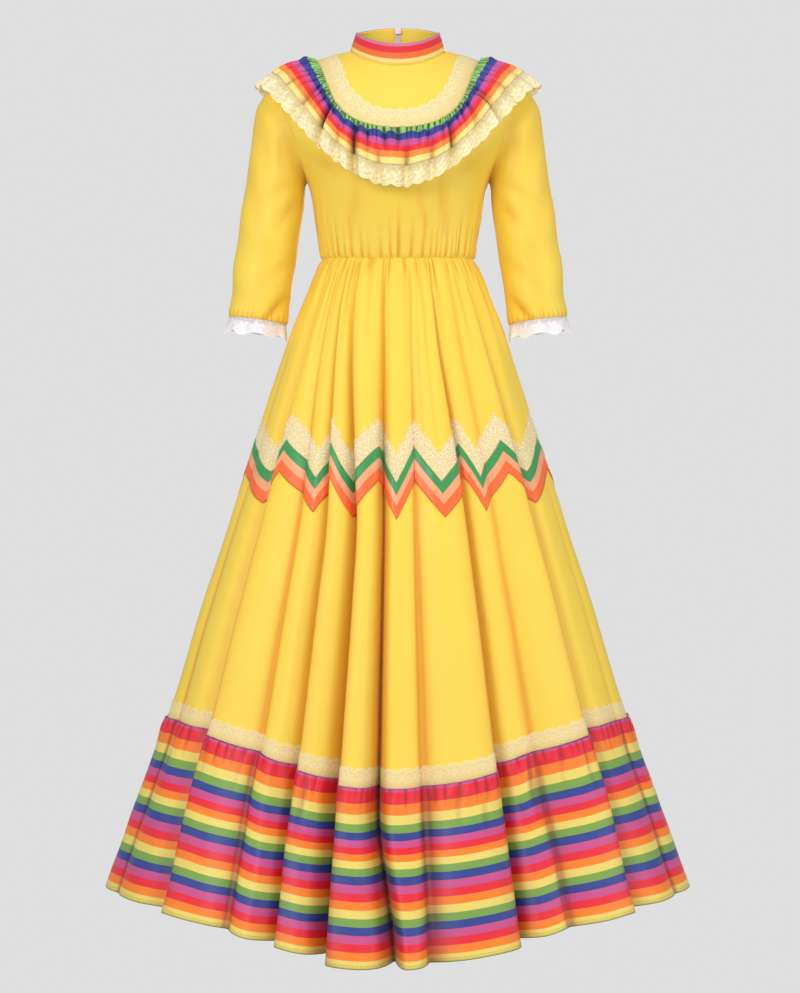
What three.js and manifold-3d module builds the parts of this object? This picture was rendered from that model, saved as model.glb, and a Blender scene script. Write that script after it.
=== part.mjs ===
// A folk-dance dress in its worn, hollow shape: stand collar, round yoke, gathered striped ruffle,
// three-quarter sleeves, a bodice gathered at the waist and a long flared skirt with a striped flounce.
// Millimetres, +Z up, -Y is the front of the dress, +X the side that is on the right seen from the front.
// The origin is between the wearer's shoulders, at the foot of the neck.
import * as THREE from "three";
import Module from "manifold-3d";

// ---------------------------------------------------------------- driving dimensions
const CLOTH = 1.2; // wall of the woven cloth
const LACE = 1.0; // wall of the lace
const RIBBON = 1.0; // wall of ribbon that lies on cloth
const SEAM_GAP = 0.3; // between the edges of two pieces that are sewn together
const FOLD_SEAM_GAP = 1.0; // where the seam runs over sharp folds
const LIE_GAP = 0.4; // between a trim and the smooth panel under it
const FOLD_LIE_GAP = 0.5; // the same on the folded skirt
const ZIP_SLIT = 2.4; // width of the slit that the zip closes, at the centre back
const ZIP_TAPE_WIDTH = 8;
const ZIP_TAPE = 0.8;
const ZIP_DEPTH = 1.0; // the tape behind the inner face of the cloth
const COLLAR_BARE = 0.06; // share of the collar's height that its ribbon leaves bare at the foot
const YOKE_LACE_WIDTH = 0.1; // on the trunk's own scale from neck (0) to waist (1)
const RUFFLE_STRIPES = 0.69; // share of the ruffle that is striped cloth, before its lace edge
const RUFFLE_GATHER = 1.1; // depth of the small gathers at its seam
const RUFFLE_SWELL = 14; // how far it arches up from its seam
const RUFFLE_FLAT = 2.2; // how flat its crests are, as in the table of the skirt's folds
const RUFFLE_SEAM_LIFT = 3.2; // its gathered edge above the seam under it
const WAIST_GATHER = 1.5;
const FLOUNCE_GATHER = 1.8;
const FLOUNCE_STEP = 3.4; // it is sewn on outside the skirt
const CUFF_LACE_DROP = 23;
const CUFF_LACE_FLARE = 3;
const CUFF_LACE_WAVE = 2.6;
const CUFF_WAVES = 9;
const ZIGZAG_HEIGHT = 52; // from tip to tip of one edge
const ZIGZAG_MIDDLE = 0.428; // height of the ribbon's upper edge, on the skirt's scale
const ZIGZAG_RIBBON = 49; // the ribbon, measured up and down
const ZIGZAG_LACE = 36; // the lace above it, measured up and down
const SKIRT_LENGTH = 740; // cloth from the waist seam to the flounce
const SKIRT_LACE = 33;

const DEGREE = Math.PI / 180;
const mix = (a, b, s) => a + (b - a) * s;
const clamp = (x, low, high) => Math.min(high, Math.max(low, x));
const smooth = (x) => {
  const s = clamp(x, 0, 1);
  return s * s * (3 - 2 * s);
};
const signedPower = (x, power) => Math.sign(x) * Math.abs(x) ** power;

// ---------------------------------------------------------------- sections of the dress
// Each row is one closed section: half its width, its depth to the front and to the back, its height at
// the side, the front and the back, how square it is (2 is an ellipse) and how sharply it dips.
const TRUNK = [
  { at: 0.0, width: 71, front: 62, back: 58, side_z: 1, front_z: -31, back_z: 14, square: 2.0, dip: 1.4 },
  { at: 0.12, width: 101, front: 80, back: 70, side_z: -7, front_z: -60, back_z: -8, square: 2.1, dip: 1.5 },
  { at: 0.25, width: 142, front: 96, back: 82, side_z: -23, front_z: -95, back_z: -46, square: 2.2, dip: 1.5 },
  { at: 0.36, width: 182, front: 108, back: 92, side_z: -45, front_z: -126, back_z: -86, square: 2.3, dip: 1.5 },
  { at: 0.5, width: 176, front: 117, back: 98, side_z: -116, front_z: -163, back_z: -134, square: 2.4, dip: 1.5 },
  { at: 0.64, width: 136, front: 118, back: 96, side_z: -197, front_z: -205, back_z: -196, square: 2.3, dip: 1.6 },
  { at: 0.82, width: 123, front: 104, back: 88, side_z: -256, front_z: -262, back_z: -256, square: 2.2, dip: 1.8 },
  { at: 1.0, width: 113, front: 90, back: 81, side_z: -312, front_z: -319, back_z: -313, square: 2.1, dip: 2.0 },
];
const SHOULDER = 0.36; // the armhole's top, on the trunk's scale
const ARMPIT = 0.64; // its bottom
const ARMHOLE_FRONT = 30; // degrees that it cuts into the front at its middle
const ARMHOLE_BACK = 26;
const ARMHOLE_GAP = 1.4; // the sleeve head stands this far out from the armhole

const COLLAR = [
  { at: 0, width: 62, front: 56, back: 52, side_z: 28.5, front_z: 1, back_z: 46, square: 2, dip: 1.4 },
  { at: 1, width: 71, front: 62, back: 58, side_z: 1, front_z: -31, back_z: 14, square: 2, dip: 1.4 },
];

// 0 is the waist seam, 1 the seam of the flounce and 2 the hem.
const SKIRT = [
  { at: 0.0, width: 114, front: 91, back: 82, side_z: -312.5, front_z: -319.5, back_z: -313.5, square: 2.1, dip: 2.0 },
  { at: 0.09, width: 139, front: 106, back: 98, side_z: -372, front_z: -382, back_z: -375, square: 2.1, dip: 2.2 },
  { at: 0.18, width: 163, front: 121, back: 114, side_z: -432, front_z: -448, back_z: -438, square: 2.0, dip: 2.6 },
  { at: 0.44, width: 221, front: 162, back: 156, side_z: -612, front_z: -630, back_z: -620, square: 2.0, dip: 3.2 },
  { at: 0.79, width: 298, front: 214, back: 212, side_z: -852, front_z: -912, back_z: -892, square: 2.0, dip: 3.8 },
  { at: 1.0, width: 340, front: 243, back: 245, side_z: -994, front_z: -1072, back_z: -1048, square: 2.0, dip: 4.0 },
  { at: 1.5, width: 388, front: 288, back: 294, side_z: -1122, front_z: -1190, back_z: -1168, square: 2.0, dip: 4.2 },
  { at: 2.0, width: 430, front: 328, back: 340, side_z: -1243, front_z: -1303, back_z: -1290, square: 2.0, dip: 5.4 },
];

// The skirt's folds, anticlockwise seen from above, from the wearer's right side round the front.
// Each row is a valley, in degrees from the centre front at the waist, at the flounce's seam and at the hem,
// with its depth at the seam and at the hem. Then comes the crest that follows it: its place before the next
// valley (0 to 1), its height at the seam and at the hem, and how flat it is. A crest near one end makes the
// steep side of an overlapping fold.
const FOLDS = [
  { waist: -90, low: -90, hem: -90, deep: 5, deep_hem: 6, crest_at: 0.5, crest: 4, crest_hem: 5, flat: 2.2 },
  { waist: -72, low: -72, hem: -71, deep: 7, deep_hem: 8, crest_at: 0.5, crest: 2, crest_hem: 4, flat: 2.2 },
  { waist: -53, low: -52, hem: -50, deep: 46, deep_hem: 26, crest_at: 0.15, crest: 16, crest_hem: 12, flat: 3 },
  { waist: -44, low: -36, hem: -34, deep: 9, deep_hem: 10, crest_at: 0.5, crest: 3, crest_hem: 6, flat: 2.2 },
  { waist: -35, low: -25, hem: -24, deep: 40, deep_hem: 34, crest_at: 0.2, crest: 10, crest_hem: 8, flat: 3.6 },
  { waist: -27, low: -13.2, hem: -13.2, deep: 60, deep_hem: 58, crest_at: 0.22, crest: 36, crest_hem: 40, flat: 4.2 },
  { waist: -8, low: -5, hem: -0.6, deep: 40, deep_hem: 36, crest_at: 0.35, crest: 16, crest_hem: 30, flat: 2.6 },
  { waist: 7, low: 6, hem: 6, deep: 8, deep_hem: 14, crest_at: 0.78, crest: 18, crest_hem: 10, flat: 2.6 },
  { waist: 21, low: 25.3, hem: 25, deep: 46, deep_hem: 46, crest_at: 0.5, crest: -14, crest_hem: -8, flat: 2.2 },
  { waist: 34, low: 36, hem: 35, deep: 12, deep_hem: 14, crest_at: 0.78, crest: 14, crest_hem: 12, flat: 2.6 },
  { waist: 50, low: 53, hem: 51, deep: 44, deep_hem: 22, crest_at: 0.5, crest: -4, crest_hem: 3, flat: 2.2 },
  { waist: 70, low: 72, hem: 70, deep: 8, deep_hem: 9, crest_at: 0.45, crest: 2, crest_hem: 4, flat: 2.2 },
  { waist: 90, low: 90, hem: 90, deep: 5, deep_hem: 6, crest_at: 0.6, crest: 5, crest_hem: 8, flat: 2.2 },
  { waist: 107, low: 106, hem: 106, deep: 20, deep_hem: 24, crest_at: 0.7, crest: 8, crest_hem: 12, flat: 2.6 },
  { waist: 121, low: 121, hem: 121, deep: 38, deep_hem: 36, crest_at: 0.75, crest: 12, crest_hem: 14, flat: 3 },
  { waist: 136, low: 134, hem: 134, deep: 30, deep_hem: 30, crest_at: 0.5, crest: 6, crest_hem: 10, flat: 2.4 },
  { waist: 149, low: 150, hem: 150, deep: 46, deep_hem: 42, crest_at: 0.7, crest: 20, crest_hem: 22, flat: 3 },
  { waist: 163, low: 164, hem: 164, deep: 26, deep_hem: 30, crest_at: 0.5, crest: 12, crest_hem: 18, flat: 2.4 },
  { waist: 180, low: 180, hem: 180, deep: 40, deep_hem: 38, crest_at: 0.4, crest: 22, crest_hem: 26, flat: 2.6 },
  { waist: 196, low: 194, hem: 194, deep: 24, deep_hem: 30, crest_at: 0.5, crest: 10, crest_hem: 16, flat: 2.4 },
  { waist: 208, low: 208, hem: 208, deep: 44, deep_hem: 40, crest_at: 0.25, crest: 14, crest_hem: 16, flat: 3 },
  { waist: 222, low: 223, hem: 223, deep: 22, deep_hem: 26, crest_at: 0.5, crest: 4, crest_hem: 8, flat: 2.4 },
  { waist: 237, low: 238, hem: 238, deep: 36, deep_hem: 32, crest_at: 0.3, crest: 10, crest_hem: 12, flat: 2.8 },
  { waist: 254, low: 254, hem: 254, deep: 18, deep_hem: 22, crest_at: 0.4, crest: 5, crest_hem: 7, flat: 2.4 },
];

// Where the zigzag has its upper and its lower tips, in folds: 2.5 is halfway from the third valley of the
// table above to the fourth.
const ZIGZAG = [
  { top: 0.4, foot: 1.77 },
  { top: 2.3, foot: 3.57 },
  { top: 4.15, foot: 4.78 },
  { top: 5.85, foot: 6.42 },
  { top: 7.0, foot: 7.49 },
  { top: 8.2, foot: 8.75 },
  { top: 9.46, foot: 10.29 },
  { top: 11.3, foot: 12.3 },
  { top: 13.3, foot: 14.2 },
  { top: 15.0, foot: 15.8 },
  { top: 16.5, foot: 17.2 },
  { top: 17.9, foot: 18.55 },
  { top: 19.27, foot: 20.05 },
  { top: 20.8, foot: 21.6 },
  { top: 22.5, foot: 23.45 },
];

// The ruffle's waves, in the same way: valleys and crests of its outer edge.
const RUFFLE_WAVES = [
  { angle: -90, deep: 5, crest_at: 0.5, crest: 7 },
  { angle: -76, deep: 6, crest_at: 0.45, crest: 8 },
  { angle: -61, deep: 8, crest_at: 0.6, crest: 6 },
  { angle: -47, deep: 9, crest_at: 0.5, crest: 5 },
  { angle: -33, deep: 20, crest_at: 0.2, crest: 13 },
  { angle: -25, deep: 5, crest_at: 0.5, crest: 7 },
  { angle: -17, deep: 19, crest_at: 0.22, crest: 15 },
  { angle: -7, deep: 5, crest_at: 0.5, crest: 11 },
  { angle: 3, deep: 8, crest_at: 0.45, crest: 9 },
  { angle: 13, deep: 9, crest_at: 0.5, crest: 5 },
  { angle: 22, deep: 13, crest_at: 0.35, crest: 9 },
  { angle: 34, deep: 4, crest_at: 0.8, crest: 15 },
  { angle: 44, deep: 18, crest_at: 0.5, crest: 4 },
  { angle: 58, deep: 8, crest_at: 0.5, crest: 7 },
  { angle: 74, deep: 6, crest_at: 0.5, crest: 8 },
  { angle: 90, deep: 5, crest_at: 0.5, crest: 8 },
  { angle: 103, deep: 10, crest_at: 0.5, crest: 8 },
  { angle: 117, deep: 12, crest_at: 0.6, crest: 10 },
  { angle: 130, deep: 10, crest_at: 0.5, crest: 9 },
  { angle: 143, deep: 13, crest_at: 0.4, crest: 10 },
  { angle: 156, deep: 10, crest_at: 0.5, crest: 9 },
  { angle: 168, deep: 9, crest_at: 0.5, crest: 8 },
  { angle: 180, deep: 6, crest_at: 0.5, crest: 8 },
  { angle: 192, deep: 9, crest_at: 0.5, crest: 9 },
  { angle: 205, deep: 12, crest_at: 0.6, crest: 9 },
  { angle: 218, deep: 10, crest_at: 0.5, crest: 10 },
  { angle: 231, deep: 13, crest_at: 0.45, crest: 9 },
  { angle: 244, deep: 10, crest_at: 0.5, crest: 8 },
  { angle: 257, deep: 9, crest_at: 0.5, crest: 7 },
];
const RUFFLE_EDGE = { width: 216, front: 160, back: 146, side_z: -50, front_z: -222, back_z: -176, square: 2, dip: 2.7 };
const RUFFLE_SEAM_SIDE = 0.19; // where the ruffle is sewn on, on the trunk's scale: at the shoulder,
const RUFFLE_SEAM_FRONT = 0.19; // how much lower at the centre front
const RUFFLE_SEAM_BACK = 0.16; // and at the centre back

// Sleeve sections from the armhole to the cuff, on the +X side: the outermost and the innermost point and
// half the depth from front to back.
const SLEEVE = [
  { at: 0.0, outer: 182, outer_z: -50, inner: 136, inner_z: -196, depth: 56 },
  { at: 0.07, outer: 202, outer_z: -66, inner: 138.6, inner_z: -199, depth: 58 },
  { at: 0.18, outer: 213.5, outer_z: -94, inner: 139.6, inner_z: -211, depth: 58 },
  { at: 0.34, outer: 221, outer_z: -150, inner: 142, inner_z: -240, depth: 55 },
  { at: 0.55, outer: 232, outer_z: -226, inner: 148, inner_z: -290, depth: 52 },
  { at: 0.78, outer: 244, outer_z: -310, inner: 156, inner_z: -345, depth: 50 },
  { at: 1.0, outer: 254, outer_z: -398, inner: 166, inner_z: -410, depth: 48 },
];

// ---------------------------------------------------------------- smooth sections
// Every column of a table at a place between its rows, on a smooth curve through them.
function section(table, at) {
  let i = 0;
  while (i < table.length - 2 && at > table[i + 1].at) i++;
  const [before, a, b, after] = [-1, 0, 1, 2].map((k) => table[clamp(i + k, 0, table.length - 1)]);
  const span = b.at - a.at;
  const s = (at - a.at) / span;
  const found = {};
  for (const key of Object.keys(a)) {
    const slopeA = ((b[key] - before[key]) / (b.at - before.at)) * span;
    const slopeB = ((after[key] - a[key]) / (after.at - a.at)) * span;
    const bend = 2 * (a[key] - b[key]) + slopeA + slopeB;
    found[key] = a[key] + s * (slopeA + s * (b[key] - a[key] - slopeA - bend + s * bend));
  }
  return found;
}

function ringPoint(row, angle) {
  const across = Math.sin(angle * DEGREE);
  const along = Math.cos(angle * DEGREE);
  const power = 2 / row.square;
  const [depth, height] = along > 0 ? [row.front, row.front_z] : [row.back, row.back_z];
  return new THREE.Vector3(
    row.width * signedPower(across, power),
    -depth * signedPower(along, power),
    row.side_z + (height - row.side_z) * Math.abs(along) ** row.dip,
  );
}

const outwards = (point) => new THREE.Vector3(point.x, point.y, 0).normalize();
const trunkPoint = (angle, at) => ringPoint(section(TRUNK, at), angle);
const collarPoint = (angle, at) => ringPoint(section(COLLAR, at), angle);

// A wave between two valleys: low at its ends and round at its crest, or flat and steep-sided over 2.
function wave(phase, crestAt, lowHere, lowNext, crest, flat) {
  const rising = phase < crestAt;
  const way = rising ? phase / crestAt : (1 - phase) / (1 - crestAt);
  return mix(rising ? lowHere : lowNext, crest, 1 - (1 - way) ** flat);
}

// ---------------------------------------------------------------- walls of cloth
// A surface is a function of (across, down): across runs anticlockwise seen from above and down runs down
// the cloth, so that down x across points out of the dress. The normal at a point lies between those of the
// facets before and after it, and is longer at a sharp fold, so that an offset cloth keeps its thickness.
function normalOf(surface, { across, down }, before, after) {
  const fall = surface(across, down + 0.003).sub(surface(across, down - 0.003));
  const here = surface(across, down);
  const facet = (from, to) => fall.clone().cross(to.clone().sub(from)).normalize();
  const first = facet(surface(before, down), here);
  const normal = first.clone().add(facet(here, surface(after, down))).normalize();
  return normal.divideScalar(Math.max(normal.dot(first), 0.45));
}

// Rows and columns of points on a surface. place gives each one's across and down, and how far small
// gathers lift it. lap is what takes across once round a ring: its last column is followed by its first.
function panelOf(surface, rows, columns, place = (across, down) => ({ across, down }), lap = 0) {
  const panel = { grid: [], normals: [] };
  rows.forEach((row, r) => {
    const placed = columns.map((column, c) => place(column, row, c, r));
    const end = placed.length - 1;
    const before = (c) => (c > 0 ? placed[c - 1].across : lap ? placed[end].across - lap : placed[0].across - 1);
    const after = (c) => (c < end ? placed[c + 1].across : lap ? placed[0].across + lap : placed[end].across + 1);
    const normals = placed.map((spot, c) => normalOf(surface, spot, before(c), after(c)));
    const lifted = ({ across, down, lift = 0 }, c) => surface(across, down).addScaledVector(normals[c], lift);
    panel.grid.push(placed.map(lifted));
    panel.normals.push(normals);
  });
  return panel;
}

// A closed solid along a panel, from inside to outside of it.
function wall({ grid, normals }, { inside = -CLOTH, outside = 0, ring = false } = {}) {
  const rows = grid.length;
  const columns = grid[0].length;
  const points = [];
  for (const offset of [outside, inside])
    grid.forEach((row, r) =>
      row.forEach((p, c) => points.push(...p.clone().addScaledVector(normals[r][c], offset).toArray())),
    );
  const faces = [];
  const layer = rows * columns;
  const quad = (a, b, c, d) => faces.push(a, b, c, a, c, d);
  const steps = ring ? columns : columns - 1;
  for (let c = 0; c < steps; c++) {
    const n = (c + 1) % columns;
    for (let r = 0; r < rows - 1; r++) {
      const [a, b, d, e] = [r * columns + c, (r + 1) * columns + c, (r + 1) * columns + n, r * columns + n];
      quad(a, b, d, e);
      faces.push(layer + a, layer + d, layer + b, layer + a, layer + e, layer + d);
    }
    const low = (rows - 1) * columns;
    quad(c, n, layer + n, layer + c);
    quad(low + n, low + c, layer + low + c, layer + low + n);
  }
  if (!ring)
    for (let r = 0; r < rows - 1; r++) {
      const [a, b] = [r * columns, (r + 1) * columns];
      const end = columns - 1;
      quad(b, a, layer + a, layer + b);
      quad(a + end, b + end, layer + b + end, layer + a + end);
    }
  const geometry = new THREE.BufferGeometry();
  geometry.setAttribute("position", new THREE.Float32BufferAttribute(points, 3));
  geometry.setIndex(faces);
  geometry.computeVertexNormals();
  return geometry;
}

// Draws the named edges of a panel back by half the gap of a seam.
function seamed(panel, edges, gap = SEAM_GAP) {
  const { grid } = panel;
  const last = grid.length - 1;
  const end = grid[0].length - 1;
  const draw = (point, towards) => point.add(towards.clone().sub(point).setLength(gap / 2));
  if (edges.includes("top")) grid[0].forEach((p, c) => draw(p, grid[1][c]));
  if (edges.includes("bottom")) grid[last].forEach((p, c) => draw(p, grid[last - 1][c]));
  if (edges.includes("start")) grid.forEach((row) => draw(row[0], row[1]));
  if (edges.includes("end")) grid.forEach((row) => draw(row[end], row[end - 1]));
  return panel;
}

// The edge at the centre back stands off by half the zip's slit, in some or all of its rows.
function slit(panel, side, rows = panel.grid.length) {
  const column = side > 0 ? panel.grid[0].length - 1 : 0;
  panel.grid.slice(0, rows).forEach((row) => (row[column].x = (side * ZIP_SLIT) / 2));
  panel.normals.slice(0, rows).forEach((row) => row[column].setX(0));
  return panel;
}

const spaced = (from, to, steps) => Array.from({ length: steps + 1 }, (_, i) => mix(from, to, i / steps));

// The stretch of a panel between two of its rows, for a trim that lies on it.
const stretch = ({ grid, normals }, from, to) => ({
  grid: grid.slice(from, to + 1).map((row) => row.map((p) => p.clone())),
  normals: normals.slice(from, to + 1),
});

// Some of a ring's columns, counted on past its last one where need be.
const columnsOf = ({ grid, normals }, from, to) => {
  const pick = (row) => Array.from({ length: to - from + 1 }, (_, i) => row[(from + i) % row.length].clone());
  return { grid: grid.map(pick), normals: normals.map(pick) };
};

// ---------------------------------------------------------------- materials and the group
const dress = new THREE.Group();
const cloth = (color, roughness = 0.6) => new THREE.MeshStandardMaterial({ color, roughness, metalness: 0 });
const YELLOW = cloth(0xf6cf3f);
const STRIPED = cloth(0xe8523a);
const LACE_CREAM = cloth(0xf7e7b4, 0.8);
const LACE_WHITE = cloth(0xf4eef2, 0.8);
const BRAID = cloth(0x4fa05a);
const ZIP_WHITE = cloth(0xefe6ee, 0.4);

function add(name, geometry, material) {
  const mesh = new THREE.Mesh(geometry, material);
  mesh.name = name;
  dress.add(mesh);
}

// ---------------------------------------------------------------- collar
function addCollar() {
  const angles = spaced(-180, 180, 36).slice(0, -1);
  const ring = panelOf(collarPoint, [0, 1 - COLLAR_BARE, 1], angles, undefined, 360);
  const panel = slit(slit(columnsOf(ring, 0, angles.length), 1), -1);
  add("collar", wall(seamed(panel, ["bottom"])), YELLOW);
  add("collar_stripe", wall(stretch(panel, 0, 1), { inside: LIE_GAP, outside: LIE_GAP + RIBBON }), STRIPED);
}

// ---------------------------------------------------------------- yoke and bodice
// The seam under the ruffle, on the trunk's scale.
function ruffleSeam(angle) {
  const along = Math.cos(angle * DEGREE);
  const dip = along > 0 ? RUFFLE_SEAM_FRONT * along ** 3.5 : RUFFLE_SEAM_BACK * Math.abs(along) ** 3;
  return RUFFLE_SEAM_SIDE + dip;
}

const YOKE_COLUMNS = 56;
const YOKE_PIECES = [
  { name: "front", from: 0, to: 28, sewn: ["start", "end"], slit_side: 0 },
  { name: "back_left", from: 28, to: 42, sewn: ["start"], slit_side: 1 },
  { name: "back_right", from: 42, to: 56, sewn: ["end"], slit_side: -1 },
];
function addYoke() {
  const angles = spaced(-90, 270, YOKE_COLUMNS).slice(0, -1);
  const downTo = [() => 0, (angle) => ruffleSeam(angle) - YOKE_LACE_WIDTH, ruffleSeam];
  const ring = panelOf(trunkPoint, downTo, angles, (angle, to) => ({ across: angle, down: to(angle) }), 360);
  seamed(ring, ["top", "bottom"]);
  for (const { name, from, to, sewn, slit_side } of YOKE_PIECES) {
    const panel = columnsOf(ring, from, to);
    if (slit_side) slit(panel, slit_side);
    add(`yoke_${name}`, wall(seamed(panel, sewn)), YELLOW);
  }
  const open = slit(slit(columnsOf(ring, 42, 42 + YOKE_COLUMNS), 1), -1);
  add("yoke_lace", wall(stretch(open, 1, 2), { inside: LIE_GAP, outside: LIE_GAP + LACE }), LACE_CREAM);
}

// How far round a panel reaches at a height: to the side seam, or less at the armhole.
function panelReach(at, armhole) {
  const share = (at - SHOULDER) / (ARMPIT - SHOULDER);
  return 90 - armhole * Math.sin(Math.PI * clamp(share, 0, 1)) ** 0.8;
}

const bodiceRows = [0, 0.12, 0.2, 0.31, 0.42, 0.52, 0.68, 0.88, 1];
function bodicePanel(middle, shares, armhole) {
  return panelOf(trunkPoint, bodiceRows, shares, (share, down, column) => {
    const at = mix(ruffleSeam(middle + share * 90), 1, down);
    const reach = mix(90, panelReach(at, armhole), smooth(down / 0.12));
    const inside = column > 0 && column < shares.length - 1;
    const gather = inside ? WAIST_GATHER * smooth((down - 0.7) / 0.3) * (column % 2 ? 1 : -1) : 0;
    return { across: middle + share * reach, down: at, lift: gather };
  });
}

function addBodice() {
  const front = bodicePanel(0, spaced(-1, 1, 28), ARMHOLE_FRONT);
  add("bodice_front", wall(seamed(front, ["top", "bottom", "start", "end"])), YELLOW);
  const left = slit(bodicePanel(180, spaced(-1, 0, 14), ARMHOLE_BACK), 1);
  add("bodice_back_left", wall(seamed(left, ["top", "bottom", "start"])), YELLOW);
  const right = slit(bodicePanel(180, spaced(0, 1, 14), ARMHOLE_BACK), -1);
  add("bodice_back_right", wall(seamed(right, ["top", "bottom", "end"])), YELLOW);
}

// ---------------------------------------------------------------- sleeves
// The armhole's edge on the trunk, all round: 0 is the shoulder point, 0.5 the armpit, by way of the back.
function armholePoint(turn) {
  const at = mix(SHOULDER, ARMPIT, (1 - Math.cos(2 * Math.PI * turn)) / 2);
  const back = (turn + 1) % 1 < 0.5;
  const reach = panelReach(at, back ? ARMHOLE_BACK : ARMHOLE_FRONT);
  return trunkPoint(back ? 180 - reach : reach, at);
}

function sleevePoint(turn, at) {
  const row = section(SLEEVE, at);
  const round = 2 * Math.PI * turn;
  const outer = (1 + Math.cos(round)) / 2;
  const point = new THREE.Vector3(
    mix(row.inner, row.outer, outer),
    row.depth * Math.sin(round),
    mix(row.inner_z, row.outer_z, outer),
  );
  const edge = armholePoint(turn).add(new THREE.Vector3(ARMHOLE_GAP, 0, 0));
  return point.lerp(edge, 1 - smooth(at / 0.16));
}

const sleeveTurns = spaced(0, 1, 22).slice(0, -1);
const sleeveRows = [0, 0.06, 0.14, 0.28, 0.5, 0.75, 1];
const mirror = (p) => new THREE.Vector3(-p.x, p.y, p.z);
const mirrored = ({ grid, normals }) => {
  const turn = (field) => field.map((row) => row.map(mirror).reverse());
  return { grid: turn(grid), normals: turn(normals) };
};

// The lace frill below a cuff: its top runs round the cuff and its foot waves in and out.
function cuffLacePoint(turn, drop) {
  const top = sleevePoint(turn, 1);
  const foot = sleevePoint(turn, 1).sub(sleevePoint(turn, 0.9)).normalize();
  const away = outwards(top.clone().sub(sleevePoint(turn + 0.5, 1)));
  const ripple = CUFF_LACE_FLARE + CUFF_LACE_WAVE * Math.cos(2 * Math.PI * CUFF_WAVES * turn);
  return top.addScaledVector(foot, SEAM_GAP + drop * CUFF_LACE_DROP).addScaledVector(away, drop * ripple);
}

function addSleeves() {
  const sleeve = panelOf(sleevePoint, sleeveRows, sleeveTurns, undefined, 1);
  const lace = panelOf(cuffLacePoint, [0, 1], spaced(0, 1, 3 * CUFF_WAVES).slice(0, -1), undefined, 1);
  for (const [side, turned] of [["left", (panel) => panel], ["right", mirrored]]) {
    add(`sleeve_${side}`, wall(turned(sleeve), { ring: true }), YELLOW);
    add(`cuff_lace_${side}`, wall(turned(lace), { ring: true, inside: -LACE }), LACE_WHITE);
  }
}

// ---------------------------------------------------------------- ruffle
function rufflePoint(turn, share) {
  const count = RUFFLE_WAVES.length;
  const wrapped = ((turn % count) + count) % count;
  const k = Math.floor(wrapped);
  const here = RUFFLE_WAVES[k];
  const next = RUFFLE_WAVES[(k + 1) % count];
  const angle = mix(here.angle, k + 1 < count ? next.angle : next.angle + 360, wrapped - k);
  const seam = trunkPoint(angle, ruffleSeam(angle));
  const below = trunkPoint(angle, ruffleSeam(angle) + 0.01).sub(seam);
  const beside = trunkPoint(angle + 1, ruffleSeam(angle + 1)).sub(seam);
  const up = below.cross(beside).normalize();
  const height = wave(wrapped - k, here.crest_at, -here.deep, -next.deep, here.crest, RUFFLE_FLAT);
  const arch = RUFFLE_SWELL * Math.sin(Math.PI * clamp(share, 0, 1));
  return seam
    .addScaledVector(up, RUFFLE_SEAM_LIFT)
    .lerp(ringPoint(RUFFLE_EDGE, angle), share)
    .addScaledVector(up, arch + height * Math.max(share, 0) ** 0.8);
}

function addRuffle() {
  const count = RUFFLE_WAVES.length;
  const turns = RUFFLE_WAVES.flatMap(({ crest_at }, k) =>
    [0, crest_at / 2, crest_at, mix(crest_at, 1, 0.5)].map((phase) => k + phase),
  );
  const back = turns.indexOf(RUFFLE_WAVES.findIndex((row) => row.angle === 180));
  const gathered = (turn, share, c) => ({
    across: turn,
    down: share,
    lift: RUFFLE_GATHER * (c % 2 ? 1 : -1) * (1 - smooth(share / 0.4)),
  });
  const open = (ring) => slit(slit(columnsOf(ring, back, back + turns.length), 1), -1);
  const striped = open(panelOf(rufflePoint, [0.004, 0.24, RUFFLE_STRIPES], turns, gathered, count));
  add("ruffle", wall(seamed(striped, ["bottom"], FOLD_SEAM_GAP)), STRIPED);
  const lace = open(panelOf(rufflePoint, [RUFFLE_STRIPES, 1], turns, undefined, count));
  add("ruffle_lace", wall(seamed(lace, ["top"], FOLD_SEAM_GAP), { inside: -LACE }), LACE_CREAM);
}

// ---------------------------------------------------------------- skirt and flounce
const foldOf = (k) => FOLDS[((k % FOLDS.length) + FOLDS.length) % FOLDS.length];

function valleyAngle(k, at) {
  const { waist, low, hem } = foldOf(k);
  const lap = 360 * Math.floor(k / FOLDS.length);
  return lap + mix(mix(waist, low, smooth(at / 0.6)), hem, smooth(at - 1));
}

// turn counts folds round the skirt; its whole numbers are the valleys.
function skirtPoint(turn, at) {
  const k = Math.floor(turn);
  const phase = turn - k;
  const here = foldOf(k);
  const point = ringPoint(section(SKIRT, at), mix(valleyAngle(k, at), valleyAngle(k + 1, at), phase));
  const flare = smooth(at - 1);
  const grown = clamp(at, 0, 1) ** 0.9;
  const low = (row) => -mix(row.deep, row.deep_hem, flare);
  const crest = mix(here.crest, here.crest_hem, flare);
  const height = wave(phase, here.crest_at, low(here), low(foldOf(k + 1)), crest, here.flat);
  return point.addScaledVector(outwards(point), grown * height);
}

// Where each fold has points: its valley, its crest and its two sides, the longer side twice.
const TURNS = FOLDS.flatMap(({ crest_at }, k) => {
  const rise = crest_at > 0.3 ? [crest_at * 0.45] : [];
  const fall = 1 - crest_at > 0.3 ? [mix(crest_at, 1, 0.4), mix(crest_at, 1, 0.75)] : [mix(crest_at, 1, 0.55)];
  return [0, ...rise, crest_at, ...fall].map((phase) => k + phase);
});

// How far below its middle line the zigzag is at a place round the skirt.
function zigzag(turn) {
  const tips = ZIGZAG.flatMap(({ top, foot }) => [[top, -1], [foot, 1]]);
  const [first, last] = [tips[0], tips[tips.length - 1]];
  const round = [[last[0] - FOLDS.length, 1], ...tips, [first[0] + FOLDS.length, -1]];
  const next = round.findIndex(([at]) => at > turn);
  const [[from, start], [to, end]] = [round[next - 1], round[next]];
  return mix(start, end, (turn - from) / (to - from)) * (ZIGZAG_HEIGHT / 2);
}

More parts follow.
